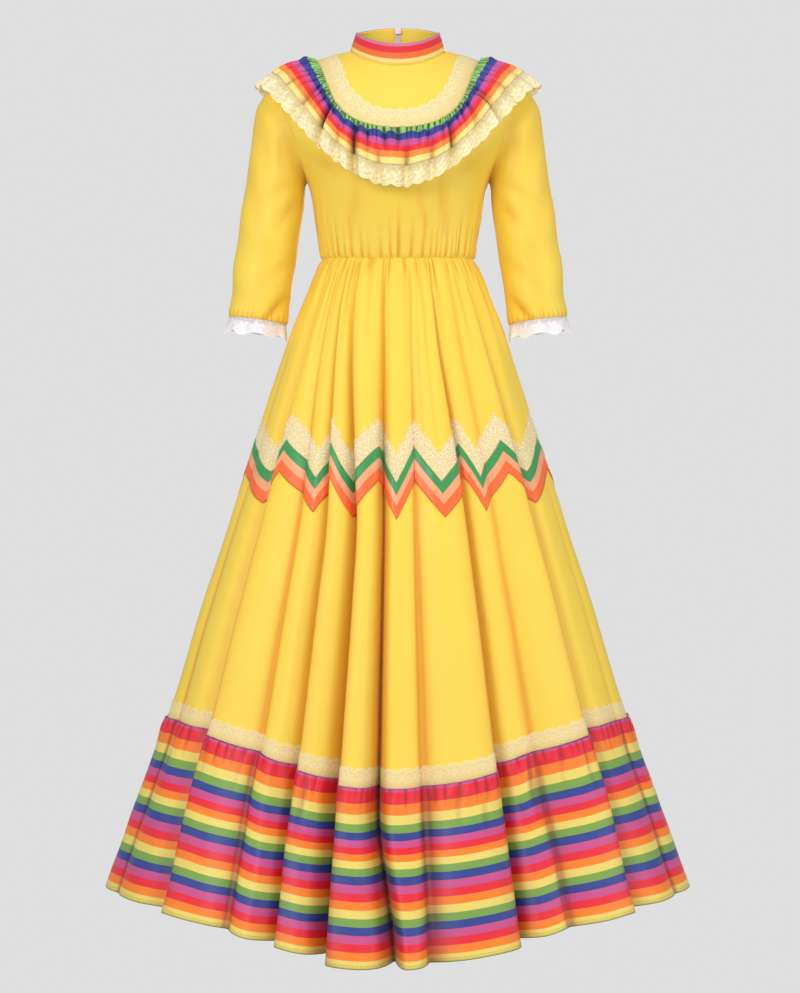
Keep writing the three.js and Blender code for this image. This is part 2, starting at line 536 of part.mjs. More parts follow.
// The skirt's rows. Those of the zigzag's lace and ribbon go up and down with it.
const down = (length) => length / SKIRT_LENGTH;
const SKIRT_ROWS = [
  () => 0,
  () => 0.05,
  () => 0.16,
  (tip) => ZIGZAG_MIDDLE + down(tip - ZIGZAG_LACE),
  (tip) => ZIGZAG_MIDDLE + down(tip),
  (tip) => ZIGZAG_MIDDLE + down(tip + ZIGZAG_RIBBON),
  () => 0.75,
  () => 1 - down(SKIRT_LACE),
  () => 1,
];
const SKIRT_TRIMS = [
  { name: "zigzag_lace", row: 3, thick: LACE, material: LACE_CREAM },
  { name: "zigzag_ribbon", row: 4, thick: RIBBON, material: BRAID },
  { name: "skirt_lace", row: 7, thick: LACE, material: LACE_CREAM },
];
const flounceRows = [1, 1.08, 1.4, 2];
const SIDE = TURNS.indexOf(FOLDS.findIndex((row) => row.low === 90)); // the column at the left side seam
const BACK = TURNS.indexOf(FOLDS.findIndex((row) => row.low === 180)); // the one at the centre back
const ZIP_ROWS = 3; // rows of the skirt that the zip reaches down
const PANELS = [
  { name: "front", from: 0, to: SIDE },
  { name: "back", from: SIDE, to: TURNS.length },
];
const SKIRT_PIECES = [
  { name: "front", from: 0, to: SIDE, slit_side: 0 },
  { name: "back_left", from: SIDE, to: BACK, slit_side: 1 },
  { name: "back_right", from: BACK, to: TURNS.length, slit_side: -1 },
];

function addSkirt() {
  const plain = [0, SIDE, BACK];
  const waistGather = (turn, rowAt, c) => {
    const at = rowAt(zigzag(turn));
    const lift = plain.includes(c) ? 0 : WAIST_GATHER * (1 - smooth(at / 0.12)) * [0, 1, -1][c % 3];
    return { across: turn, down: at, lift };
  };
  const flounceGather = (turn, at, c) => {
    const gather = plain.includes(c) ? 0 : FLOUNCE_GATHER * (c % 2 ? 1 : -1);
    return { across: turn, down: at, lift: FLOUNCE_STEP + gather * smooth(1 - Math.abs(at - 1.1) / 0.5) };
  };
  const skirt = panelOf(skirtPoint, SKIRT_ROWS, TURNS, waistGather, FOLDS.length);
  seamed(seamed(skirt, ["top"]), ["bottom"], FOLD_SEAM_GAP);
  for (const { name, from, to, slit_side } of SKIRT_PIECES) {
    const panel = seamed(columnsOf(skirt, from, to), ["start", "end"]);
    if (slit_side) slit(panel, slit_side, ZIP_ROWS);
    add(`skirt_${name}`, wall(panel), YELLOW);
  }
  const flounce = panelOf(skirtPoint, flounceRows, TURNS, flounceGather, FOLDS.length);
  seamed(flounce, ["top"], FOLD_SEAM_GAP);
  for (const { name, from, to } of PANELS) {
    add(`flounce_${name}`, wall(seamed(columnsOf(flounce, from, to), ["start", "end"])), STRIPED);
  }
  for (const { name, row, thick, material } of SKIRT_TRIMS) {
    const band = seamed(stretch(skirt, row, row + 1), ["top", "bottom"], FOLD_SEAM_GAP);
    add(name, wall(band, { inside: FOLD_LIE_GAP, outside: FOLD_LIE_GAP + thick, ring: true }), material);
  }
}

// ---------------------------------------------------------------- zip
const SLIDER = { z: 41.5, width: 9, depth: 3, height: 10.5, clear: 1.2 };
const SLIDER_NECK = { width: 1.4, height: 4 }; // it passes the slit and joins the slider to its back plate
const SLIDER_PLATE = { width: 7, thick: 1.2, height: 5, clear: 1.3 };
const SLIDER_EAR = { height: 3, past_pin: 0.8 };
const PULL = { pin_y: 61, pin: 0.7, eye: 1.1, barrel: 1.8, barrel_width: 3.6, length: 23, width: 5.4, thick: 1.2 };
const PULL_SHOULDER = 4; // below the pin, where the pull starts to widen
const collarBackAt = (z) => (z - COLLAR[0].back_z) / (COLLAR[1].back_z - COLLAR[0].back_z);

function addZipTape() {
  const under = CLOTH + ZIP_DEPTH;
  const top = collarBackAt(SLIDER.z - SLIDER.height / 2 - 1);
  const seam = ruffleSeam(180);
  const line = [
    ...[top, 1 - COLLAR_BARE].map((at) => collarPoint(180, at)),
    ...[0, seam - YOKE_LACE_WIDTH].map((at) => trunkPoint(180, at)),
    ...bodiceRows.map((row) => trunkPoint(180, mix(seam, 1, row))),
    ...SKIRT_ROWS.slice(1, ZIP_ROWS).map((rowAt) => skirtPoint(TURNS[BACK], rowAt())),
  ];
  const halves = [1, -1].map((side) => (side * ZIP_TAPE_WIDTH) / 2);
  const grid = line.map((p) => halves.map((x) => new THREE.Vector3(x, p.y, p.z)));
  const normals = line.map((_, i) => {
    const along = line[Math.min(i + 1, line.length - 1)].clone().sub(line[Math.max(i - 1, 0)]);
    return halves.map(() => along.clone().cross(new THREE.Vector3(-1, 0, 0)).normalize());
  });
  add("zip_tape", wall({ grid, normals }, { inside: -under - ZIP_TAPE, outside: -under }), ZIP_WHITE);
}

const wasm = await Module();
wasm.setup();

function solid(geometry) {
  const position = geometry.index ? geometry.toNonIndexed().attributes.position : geometry.attributes.position;
  const seen = new Map();
  const vertices = [];
  const triangles = [];
  for (let i = 0; i < position.count; i++) {
    const xyz = [position.getX(i), position.getY(i), position.getZ(i)];
    const key = xyz.map((v) => Math.round(v * 1e4)).join();
    if (!seen.has(key)) {
      seen.set(key, seen.size);
      vertices.push(...xyz);
    }
    triangles.push(seen.get(key));
  }
  const mesh = { numProp: 3, vertProperties: new Float32Array(vertices), triVerts: new Uint32Array(triangles) };
  return new wasm.Manifold(new wasm.Mesh(mesh));
}

function geometryOf(manifold) {
  const mesh = manifold.getMesh();
  const geometry = new THREE.BufferGeometry();
  geometry.setAttribute("position", new THREE.BufferAttribute(new Float32Array(mesh.vertProperties), 3));
  geometry.setIndex(new THREE.BufferAttribute(new Uint32Array(mesh.triVerts), 1));
  geometry.computeVertexNormals();
  return geometry;
}

const block = (width, depth, height, x, y, z) => solid(new THREE.BoxGeometry(width, depth, height).translate(x, y, z));
const pinAlongX = (radius, length, y, z, sides = 12) =>
  solid(new THREE.CylinderGeometry(radius, radius, length, sides).rotateZ(Math.PI / 2).translate(0, y, z));

function addSlider() {
  const { z } = SLIDER;
  const inner = collarPoint(180, 0).y - CLOTH - SLIDER.clear;
  const outer = collarPoint(180, collarBackAt(z)).y + LIE_GAP + RIBBON + SLIDER_PLATE.clear;
  const ear = (SLIDER_PLATE.width - PULL.barrel_width) / 2 - SEAM_GAP;
  const earX = (SLIDER_PLATE.width - ear) / 2;
  const earDepth = PULL.pin_y + SLIDER_EAR.past_pin - outer;
  const pieces = [
    block(SLIDER.width, SLIDER.depth, SLIDER.height, 0, inner - SLIDER.depth / 2, z),
    block(SLIDER_NECK.width, outer - inner + 2, SLIDER_NECK.height, 0, (outer + inner) / 2, z),
    block(SLIDER_PLATE.width, SLIDER_PLATE.thick, SLIDER_PLATE.height, 0, outer + SLIDER_PLATE.thick / 2, z),
    ...[-earX, earX].map((x) => block(ear, earDepth, SLIDER_EAR.height, x, outer + earDepth / 2, z)),
    pinAlongX(PULL.pin, SLIDER_PLATE.width - ear, PULL.pin_y, z),
  ];
  add("zip_slider", geometryOf(pieces.reduce((sum, piece) => sum.add(piece))), ZIP_WHITE);
}

function addPull() {
  const { pin_y: pinY, barrel_width: barrelWidth, length, width, thick } = PULL;
  const outline = new THREE.Shape();
  outline.moveTo(-barrelWidth / 2, 0);
  outline.lineTo(-barrelWidth / 2, -PULL_SHOULDER);
  outline.lineTo(-width / 2, -length + width / 2);
  outline.absarc(0, -length + width / 2, width / 2, Math.PI, 2 * Math.PI, false);
  outline.lineTo(barrelWidth / 2, -PULL_SHOULDER);
  outline.lineTo(barrelWidth / 2, 0);
  const plate = new THREE.ExtrudeGeometry(outline, { depth: thick, bevelEnabled: false, curveSegments: 8 });
  plate.rotateX(Math.PI / 2).translate(0, pinY + thick / 2, SLIDER.z);
  const barrel = pinAlongX(PULL.barrel, barrelWidth, pinY, SLIDER.z, 16);
  const eye = pinAlongX(PULL.eye, barrelWidth + 2, pinY, SLIDER.z, 16);
  add("zip_pull", geometryOf(solid(plate).add(barrel).subtract(eye)), ZIP_WHITE);
}

// ---------------------------------------------------------------- the whole dress
addCollar();
addYoke();
addBodice();
addSleeves();
addRuffle();
addSkirt();
addZipTape();
addSlider();
addPull();

export default dress;
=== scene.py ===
# %% [markdown]
# # A folk-dance dress in its worn, hollow shape
# The dress has a stand collar with a striped ribbon, a round yoke edged with lace, a gathered striped
# ruffle with a lace edge, three-quarter sleeves, a bodice gathered at the waist and a long flared skirt
# with a zigzag ribbon and a striped flounce. Its walls of solid cloth are loaded first as a fixed frame.
# Cloth in this lesson is always made the same way: a flat grid is cut with a bmesh operator, and each of
# its points is then hung on a formula of the body's shape, so folds, gathers and creases are all real
# geometry, and the flat cut survives as the UV map, in metres, for weave and stripes to follow.

# %% The frame
import math

import bmesh
import bpy
import numpy as np
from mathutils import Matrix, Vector


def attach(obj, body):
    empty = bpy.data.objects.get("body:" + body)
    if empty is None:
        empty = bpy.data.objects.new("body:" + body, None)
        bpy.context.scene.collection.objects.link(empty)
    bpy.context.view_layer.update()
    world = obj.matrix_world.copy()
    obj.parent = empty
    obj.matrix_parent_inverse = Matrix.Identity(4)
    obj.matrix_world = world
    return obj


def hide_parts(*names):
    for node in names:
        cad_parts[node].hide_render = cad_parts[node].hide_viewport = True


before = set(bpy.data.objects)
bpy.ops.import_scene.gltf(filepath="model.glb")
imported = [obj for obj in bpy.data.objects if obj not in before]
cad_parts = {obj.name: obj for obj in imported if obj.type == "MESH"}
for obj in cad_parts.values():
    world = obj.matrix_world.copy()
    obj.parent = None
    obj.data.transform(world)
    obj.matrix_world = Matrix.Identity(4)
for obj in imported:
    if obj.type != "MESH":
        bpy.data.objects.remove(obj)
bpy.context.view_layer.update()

# %% [markdown]
# ## Camera, light and floor
# A dress on show is lit by one big soft box in front, above and to the side, with weaker ones all round it
# and plenty of light coming back from pale walls. The long lens stands level with the middle of the dress,
# 3.4 m away, which keeps the proportions. The floor and the sky share one pale grey, so the dress stands
# alone, as in a catalogue.

# %% Camera
scene = bpy.context.scene
CAMERA_AWAY = 3.4
CAMERA_PLACE = (0.003, -CAMERA_AWAY, -0.667)
FIELD_HEIGHT = 1.4895  # metres of the dress's plane that fill the picture from top to bottom
SENSOR = 36.0
camera_data = bpy.data.cameras.new("camera")
camera_data.sensor_width = SENSOR
camera_data.lens = SENSOR * CAMERA_AWAY / FIELD_HEIGHT
camera = bpy.data.objects.new("camera", camera_data)
camera.location = CAMERA_PLACE
camera.rotation_euler = (math.radians(90), 0, 0)
scene.collection.objects.link(camera)
scene.camera = camera
print("lens:", round(camera_data.lens, 1), "mm")


# %% Light
def linear(red, green, blue):
    """A display colour, 0 to 255, as the linear colour that Blender's sockets want."""
    shares = [value / 255 for value in (red, green, blue)]
    return [s / 12.92 if s < 0.04045 else ((s + 0.055) / 1.055) ** 2.4 for s in shares] + [1.0]


BACKDROP = linear(223, 223, 223)
AMBIENT = 0.42  # share of the backdrop's light that falls on the dress
scene.view_settings.view_transform = "Standard"
scene.view_settings.look = "None"


def backdrop_strength(tree):
    """A backdrop that looks at its full tone, and lights the dress with only a share of it."""
    seen = tree.nodes.new("ShaderNodeLightPath").outputs["Is Camera Ray"]
    strength = tree.nodes.new("ShaderNodeMapRange")
    strength.inputs["To Min"].default_value = AMBIENT
    tree.links.new(seen, strength.inputs["Value"])
    return strength.outputs["Result"]


world = bpy.data.worlds.new("studio")
world.use_nodes = True
world_shader = world.node_tree.nodes["Background"]
world_shader.inputs["Color"].default_value = BACKDROP
world.node_tree.links.new(backdrop_strength(world.node_tree), world_shader.inputs["Strength"])
scene.world = world


DRESS_MIDDLE = Vector((0, 0, -0.65))
SOFT_BOXES = [  # name, place and side in metres, and power in watts
    ("key", (-1.5, -3.1, 0.35), 1.2, 54),
    ("fill", (1.7, -2.9, -0.3), 1.5, 26),
    ("top", (0.1, -1.3, 2.1), 1.2, 20),
    ("back", (0.6, 3.2, 0.2), 1.5, 36),
    ("left", (-3.1, -1.1, -0.4), 1.5, 17),
    ("right", (3.1, -1.1, -0.4), 1.5, 27),
]
for name, place, size, power in SOFT_BOXES:
    data = bpy.data.lights.new(name, "AREA")
    data.size, data.energy = size, power
    light = bpy.data.objects.new(name, data)
    light.location = place
    light.rotation_euler = (DRESS_MIDDLE - Vector(place)).to_track_quat("-Z", "Y").to_euler()
    scene.collection.objects.link(light)
print("soft boxes:", len(SOFT_BOXES))

# %% Floor
FLOOR_Z = -1.36
FLOOR_REACH = 9
floor_bm = bmesh.new()
bmesh.ops.create_grid(floor_bm, x_segments=1, y_segments=1, size=FLOOR_REACH)
bmesh.ops.translate(floor_bm, verts=floor_bm.verts, vec=(0, 0, FLOOR_Z))
floor_mesh = bpy.data.meshes.new("floor")
floor_bm.to_mesh(floor_mesh)
floor_bm.free()
floor = bpy.data.objects.new("floor", floor_mesh)
scene.collection.objects.link(floor)
floor_paint = bpy.data.materials.new("pale_floor")
floor_paint.use_nodes = True
floor_tree = floor_paint.node_tree
floor_shader = floor_tree.nodes["Principled BSDF"]
floor_shader.inputs["Base Color"].default_value = (0, 0, 0, 1)
floor_shader.inputs["Specular IOR Level"].default_value = 0
floor_shader.inputs["Emission Color"].default_value = BACKDROP
floor_tree.links.new(backdrop_strength(floor_tree), floor_shader.inputs["Emission Strength"])
floor_mesh.materials.append(floor_paint)

# %% [markdown]
# ## The shape as sections
# A dressmaker measures a body girth by girth, and this dress is stored that way. Each row of a table is
# one closed section: half its width, its depth to the front and to the back, its height at the side, the
# front and the back, how square it is and how sharply it dips. A smooth curve through the rows gives any
# section in between. All tables are in millimetres, and numpy works out thousands of points at once.

# %% Smooth tables
def mix(a, b, share):
    return a + (b - a) * share


def smooth(x):
    s = np.clip(x, 0, 1)
    return s * s * (3 - 2 * s)


def table(names, *rows):
    """A table by columns: the name of each column and its numbers."""
    return {name: np.array(column, float) for name, column in zip(names.split(), zip(*rows))}


def section(rows, at):
    """Every column at a place between the rows, on a smooth curve through them."""
    places = rows["at"]
    i = np.searchsorted(places[1:-1], at)
    before, after = np.maximum(i - 1, 0), np.minimum(i + 2, len(places) - 1)
    span = places[i + 1] - places[i]
    s = (at - places[i]) / span
    found = {}
    for name, column in rows.items():
        a, b = column[i], column[i + 1]
        slope_a = (b - column[before]) / (places[i + 1] - places[before]) * span
        slope_b = (column[after] - a) / (places[after] - places[i]) * span
        bend = 2 * (a - b) + slope_a + slope_b
        found[name] = a + s * (slope_a + s * (b - a - slope_a - bend + s * bend))
    return found


def ring_point(row, angle):
    """The point of a section at an angle from the centre front, in degrees, anticlockwise from above."""
    across, along = np.sin(np.radians(angle)), np.cos(np.radians(angle))
    power = 2 / row["square"]
    depth = np.where(along > 0, row["front"], row["back"])
    height = np.where(along > 0, row["front_z"], row["back_z"])
    x = row["width"] * np.sign(across) * np.abs(across) ** power
    y = -depth * np.sign(along) * np.abs(along) ** power
    z = row["side_z"] + (height - row["side_z"]) * np.abs(along) ** row["dip"]
    return np.stack([x, y, z], axis=-1)


def unit(vectors):
    return vectors / np.maximum(np.linalg.norm(vectors, axis=-1, keepdims=True), 1e-9)


def outwards(points):
    """The level direction from the middle of the dress to each point."""
    return unit(points * [1, 1, 0])


def lifted(points, by):
    """The points moved outwards, each by its own millimetres."""
    return points + outwards(points) * by[..., None]


# %% The body's sections
SECTION = "at width front back side_z front_z back_z square dip"
TRUNK = table(
    SECTION,
    (0.0, 71, 62, 58, 1, -31, 14, 2.0, 1.4),
    (0.12, 101, 80, 70, -7, -60, -8, 2.1, 1.5),
    (0.25, 142, 96, 82, -23, -95, -46, 2.2, 1.5),
    (0.36, 182, 108, 92, -45, -126, -86, 2.3, 1.5),
    (0.5, 176, 117, 98, -116, -163, -134, 2.4, 1.5),
    (0.64, 136, 118, 96, -197, -205, -196, 2.3, 1.6),
    (0.82, 123, 104, 88, -256, -262, -256, 2.2, 1.8),
    (1.0, 113, 90, 81, -312, -319, -313, 2.1, 2.0),
)
COLLAR = table(
    SECTION,
    (0, 62, 56, 52, 28.5, 1, 46, 2, 1.4),
    (1, 71, 62, 58, 1, -31, 14, 2, 1.4),
)
SKIRT = table(
    SECTION,
    (0.0, 114, 91, 82, -312.5, -319.5, -313.5, 2.1, 2.0),
    (0.09, 139, 106, 98, -372, -382, -375, 2.1, 2.2),
    (0.18, 163, 121, 114, -432, -448, -438, 2.0, 2.6),
    (0.44, 221, 162, 156, -612, -630, -620, 2.0, 3.2),
    (0.79, 298, 214, 212, -852, -912, -892, 2.0, 3.8),
    (1.0, 340, 243, 245, -994, -1072, -1048, 2.0, 4.0),
    (1.5, 388, 288, 294, -1122, -1190, -1168, 2.0, 4.2),
    (2.0, 430, 328, 340, -1243, -1303, -1290, 2.0, 5.4),
)
RUFFLE_EDGE = dict(width=216, front=160, back=146, side_z=-50, front_z=-222, back_z=-176, square=2, dip=2.7)
SLEEVE = table(
    "at outer outer_z inner inner_z depth",
    (0.0, 182, -50, 136, -196, 56),
    (0.07, 202, -66, 138.6, -199, 58),
    (0.18, 213.5, -94, 139.6, -211, 58),
    (0.34, 221, -150, 142, -240, 55),
    (0.55, 232, -226, 148, -290, 52),
    (0.78, 244, -310, 156, -345, 50),
    (1.0, 254, -398, 166, -410, 48),
)


def trunk_point(angle, at):
    return ring_point(section(TRUNK, at), angle)


def collar_point(angle, at):
    return ring_point(section(COLLAR, at), angle)


print("waist, side to side:", 2 * TRUNK["width"][-1], "mm")

# %% [markdown]
# ## From flat cloth to hung cloth
# On the sewing table every piece of cloth is flat. The grid operator cuts that flat piece, with as many
# points as its folds need. Its points are then moved to the worn shape, and the piece becomes a thin
# shell with a Solidify modifier, which keeps the outer face where the formula puts it. Each corner of a
# face also remembers where it was on the flat cloth, and that is the UV map every fabric reads.

# %% Hanging a grid
MM = 0.001
CLOTH_THICK = 0.8  # millimetres


def lengths(points, axis):
    """How much cloth lies before each point, along the rows (1) or the columns (0) of a grid, in mm."""
    steps = np.linalg.norm(np.diff(points, axis=axis), axis=-1)
    return np.concatenate([np.zeros_like(steps.take([0], axis)), np.cumsum(steps, axis)], axis)


def nearby(points, reach):
    """Each point's average with its neighbours along the row, reach columns each way."""
    wide = np.pad(points, ((0, 0), (reach, reach), (0, 0)), mode="reflect", reflect_type="odd")
    total = np.cumsum(np.pad(wide, ((0, 0), (1, 0), (0, 0))), axis=1)
    return (total[:, 2 * reach + 1 :] - total[:, : -2 * reach - 1]) / (2 * reach + 1)


def hollows(points, scales):
    """The painted shade: 0 on open cloth, up to 1 deep in a fold. A scale is columns each way and a depth in
    mm.
    """
    normals = unit(np.cross(np.gradient(points, axis=0), np.gradient(points, axis=1)))
    found = 0
    for reach, depth in scales:
        found = found + np.clip(np.sum((nearby(points, reach) - points) * normals, axis=-1) / depth, 0, 1)
    return np.clip(found, 0, 1)


# The scale of the shade painted into cloth that has no deep folds.
FINE = [(4, 1.6)]  # the only scale where cloth has no deep folds


def hang(name, points, flat, material, thick=CLOTH_THICK, ring=False, folds=FINE, shade=0):
    """A thin piece of cloth through a grid of points, in mm, whose rows run down the cloth.
    flat gives each point's place on the flat cloth, in mm. On a ring, the last column is the first.
    shade is painted shade, 1 where a gather closes over itself, added to the shade painted into the grid's
    folds."""
    rows, columns = points.shape[:2]
    bm = bmesh.new()
    bm.loops.layers.uv.new("Cloth")
    bmesh.ops.create_grid(bm, x_segments=columns - 1, y_segments=rows - 1, size=0.5)
    mesh = bpy.data.meshes.new(name + "_cloth")
    bm.to_mesh(mesh)
    bm.free()
    grid = np.empty(3 * len(mesh.vertices))
    mesh.vertices.foreach_get("co", grid)
    grid = grid.reshape(-1, 3)
    column = np.rint((grid[:, 0] + 0.5) * (columns - 1)).astype(int)
    row = np.rint((0.5 - grid[:, 1]) * (rows - 1)).astype(int)
    mesh.vertices.foreach_set("co", (points[row, column] * MM).ravel())
    corner = np.empty(len(mesh.loops), int)
    mesh.loops.foreach_get("vertex_index", corner)
    mesh.uv_layers["Cloth"].data.foreach_set("uv", (flat[row, column][corner] * MM).ravel())
    # The painted shade: a darkening of the colour in folds and gathers, kept on each point for the fabric to
    # read.
    fold = mesh.attributes.new("PaintedShade", "FLOAT", "POINT")
    deep = np.clip(hollows(points, folds) + shade, 0, 1)
    fold.data.foreach_set("value", deep[row, column].astype(np.float32))
    if ring:
        bm = bmesh.new()
        bm.from_mesh(mesh)
        bmesh.ops.remove_doubles(bm, verts=bm.verts, dist=1e-6)
        bm.to_mesh(mesh)
        bm.free()
    mesh.polygons.foreach_set("use_smooth", [True] * len(mesh.polygons))
    mesh.update()
    mesh.materials.append(material)
    piece = bpy.data.objects.new(mesh.name, mesh)
    scene.collection.objects.link(piece)
    if thick:
        shell = piece.modifiers.new("thickness", "SOLIDIFY")
        shell.thickness, shell.offset = thick * MM, -1
    print(f"{mesh.name}: {len(mesh.polygons)} faces")
    return piece


def raised(points, by, ring=False):
    """The same grid, moved out of the dress by some millimetres: a trim that lies on the cloth."""
    across = np.gradient(points, axis=1)
    if ring:
        across[:, 0] = across[:, -1] = (points[:, 1] - points[:, -2]) / 2
    return points + by * unit(np.cross(np.gradient(points, axis=0), across))


def flat_cut(points, down=None):
    """The flat place of each point: along the widest row, and down each column, or down as given."""
    widest = np.argmax(lengths(points, 1)[:, -1])
    along = np.broadcast_to(lengths(points, 1)[widest], points.shape[:2])
    if down is None:
        hung = lengths(points, 0)
        down = hung / np.maximum(hung[-1], 1e-9) * hung[-1].mean()
    return np.stack([along, down], axis=-1)


def grid_of(across, down):
    """Two arrays of the places across and down, one value for each point of a grid."""
    return np.meshgrid(np.asarray(across, float), np.asarray(down, float))


# %% [markdown]
# ## Gathers and creases
# A gathered seam pulls a long edge onto a short one. What shows is a row of small ridges, no two alike in
# width, height or length, which die away into the cloth. The ridges here are drawn from a seeded random
# generator, so each run gives the same dress. A crease is a soft groove along a line, where a fold of the
# sleeve or the bodice has been pressed in by wear.

# %% Gathers
def gathers(seed, count, sharp=1.0):
    """Returns ridge(place, away): a height from 0 to 1 at a place round the seam, once round being 1.
    away is 0 at the seam and 1 where the longest ridge ends."""
    random = np.random.default_rng(seed)
    widths = random.uniform(0.45, 1.55, count)
    edges = np.concatenate([[0], np.cumsum(widths) / widths.sum()])
    tall, long = random.uniform(0.45, 1, count), random.uniform(0.35, 1, count)

    def ridge(place, away):
        place = np.mod(place, 1)
        k = np.clip(np.searchsorted(edges, place, side="right") - 1, 0, count - 1)
        phase = (place - edges[k]) / (edges[k + 1] - edges[k])
        return tall[k] * np.abs(np.sin(math.pi * phase)) ** sharp * (1 - smooth(away / long[k]))

    return ridge


def painted_gap_shade(ridge, place, away, width=0.4):
    """The painted shade in the lines between a seam's ridges: 1 there, fading to 0 where away reaches 1."""
    return np.clip(1 - ridge(place, 0 * place) / width, 0, 1) * (1 - smooth(away))


def slack(points, seed, size=70, height=1.0):
    """The slow, shallow waves of cloth that nothing pulls tight."""
    random = np.random.default_rng(seed)
    total = 0
    for _ in range(5):
        way = unit(random.normal(size=3)) * 2 * math.pi / (size * random.uniform(0.7, 1.6))
        total = total + np.sin(points @ way + random.uniform(0, 6.28))
    return total * height / 5


def crease(points, start, end, width, depth):
    """A groove on the front of the dress along a line from start to end, each given as (x, z) in mm."""
    a, b = np.array(start, float), np.array(end, float)
    spot = points[..., [0, 2]]
    share = np.clip((spot - a) @ (b - a) / ((b - a) @ (b - a)), 0, 1)
    away = np.linalg.norm(spot - (a + share[..., None] * (b - a)), axis=-1)
    front = smooth(-points[..., 1] / 20)
    fade = 0.35 + 0.65 * np.sin(math.pi * np.clip(share, 0.08, 0.92))
    return -depth * front * np.exp(-((away / width) ** 2)) * fade


def creases(points, lines):
    """The grooves along several lines together."""
    return sum(crease(points, *line) for line in lines)


def pressed(points, lines, full=3.2):
    """How deep those grooves are, from 0 to 1 at full mm, for the shade painted in them."""
    return np.clip(-creases(points, lines) / full, 0, 1)


# %% [markdown]
# ## Fabrics
# The fabrics share a few effects, so each effect is a node group with named inputs: the weave of the
# satin-faced polyester, the printed stripes, the net and flowers of the lace, and a row of stitches. All
# of them read the flat map of the cloth in metres, so threads and stripes bend with every fold and
# keep their real size. Each material then sets its own colours, gloss and relief, and the shade painted
# into its folds.

# %% A bench for nodes
class Bench:
    """Adds nodes to one tree: a number or a colour is typed into its socket, and a socket is linked."""

    def __init__(self, tree):
        self.tree = tree

    def wire(self, value, socket):
        self.tree.links.new(value, socket)

    def node(self, kind, inputs, **settings):
        made = self.tree.nodes.new("ShaderNode" + kind)
        for key, value in settings.items():
            setattr(made, key, value)
        for key, value in inputs.items():
            if isinstance(value, bpy.types.NodeSocket):
                self.wire(value, made.inputs[key])
            else:
                made.inputs[key].default_value = value
        return made

    def math(self, operation, *values):
        return self.node("Math", dict(enumerate(values)), operation=operation).outputs[0]

    def plus(self, a, b):
        return self.math("ADD", a, b)

    def minus(self, a, b):
        return self.math("SUBTRACT", a, b)

    def times(self, a, b):
        return self.math("MULTIPLY", a, b)

    def over(self, a, b):
        return self.math("DIVIDE", a, b)

    def most(self, a, b):
        return self.math("MAXIMUM", a, b)

    def scaled(self, value, factor, start):
        """The value times a factor, plus a start."""
        return self.math("MULTIPLY_ADD", value, factor, start)

    def blend(self, share, a, b, way="MIX"):
        return self.node("Mix", {0: share, 6: a, 7: b}, data_type="RGBA", blend_type=way).outputs[2]

    def step(self, value, low, high):
        """0 up to low, 1 from high on, and a smooth rise between them."""
        inputs = {"Value": value, "From Min": low, "From Max": high}
        return self.node("MapRange", inputs, interpolation_type="SMOOTHSTEP").outputs["Result"]

    def distance(self, a, b):
        return self.math("SQRT", self.scaled(a, a, self.times(b, b)))

    def band(self, value, middle, half, soft):
        """1 within half of the middle, and 0 beyond a soft edge."""
        away = self.math("ABSOLUTE", self.minus(value, middle))
        return self.minus(1.0, self.step(away, half, half + soft))

    def split(self, vector):
        return self.node("SeparateXYZ", {0: vector}).outputs

    def stretched(self, vector, scale):
        return self.node("Mapping", {"Vector": vector, "Scale": scale}).outputs["Vector"]

    def noise(self, vector, scale, detail=2.0, **inputs):
        inputs = {"Vector": vector, "Scale": scale, "Detail": detail, **inputs}
        return self.node("TexNoise", inputs).outputs["Fac"]

    def use(self, group, **inputs):
        return self.node("Group", inputs, node_tree=group).outputs


def effect(name, inputs, outputs):
    """A node group: its tree, its bench, and its input and output sockets by name."""
    tree = bpy.data.node_groups.new(name, "ShaderNodeTree")
    for key, value in inputs.items():
        kind = "NodeSocketVector" if value is None else "NodeSocketFloat"
        socket = tree.interface.new_socket(key, in_out="INPUT", socket_type=kind)
        if value is not None:
            socket.default_value = value
    for key in outputs:
        tree.interface.new_socket(key, in_out="OUTPUT", socket_type="NodeSocketFloat")
    given = tree.nodes.new("NodeGroupInput").outputs
    wanted = tree.nodes.new("NodeGroupOutput").inputs
    return tree, Bench(tree), given, wanted


# %% Weave
TURN = 2 * math.pi
THREADS = 1600.0  # threads a metre
weave, bench, given, wanted = effect("weave", {"Cloth": None, "Threads": THREADS}, ["Relief", "Tone"])
x, y, _ = bench.split(given["Cloth"])
warp, weft = [bench.math("SINE", bench.times(bench.times(way, given["Threads"]), TURN)) for way in (x, y)]
slub = bench.noise(bench.stretched(given["Cloth"], (1400, 60, 1)), 1.0, 3.0)
cloud = bench.noise(given["Cloth"], 14.0, 3.0)
bench.wire(bench.scaled(bench.times(warp, weft), 0.5, slub), wanted["Relief"])
bench.wire(bench.plus(bench.times(cloud, 0.7), bench.times(slub, 0.3)), wanted["Tone"])

# %% Printed stripes
stripes, bench, given, wanted = effect("stripes", {"Cloth": None, "Repeat": 0.073}, ["Place"])
down = bench.split(given["Cloth"])[1]
ragged = bench.scaled(bench.noise(given["Cloth"], 900.0, 1.0), 0.0004, down)
bench.wire(bench.math("FRACT", bench.over(ragged, given["Repeat"])), wanted["Place"])

# %% Lace
# Inside is the distance from the lace's free edge. Everything else is a length too, in metres, but for
# Ground, the share that the net covers, and Speckle, how far loose knots take the place of the flowers.
lace_inputs = dict(Inside=0.0, Width=0.034, Pitch=0.026, Net=0.002, Ground=0.5, Speckle=0.0)
lace, bench, given, wanted = effect("lace", {"Cloth": None, **lace_inputs}, ["Cover", "Relief"])
inside, width, pitch = given["Inside"], given["Width"], given["Pitch"]
repeat = bench.over(bench.split(given["Cloth"])[0], pitch)
drift = bench.scaled(bench.noise(given["Cloth"], 130.0, 2.0), 0.012, -0.006)
centre = bench.times(bench.minus(bench.math("FRACT", repeat), 0.5), pitch)
across = bench.plus(centre, drift)
up = bench.plus(bench.scaled(width, -0.4, inside), drift)

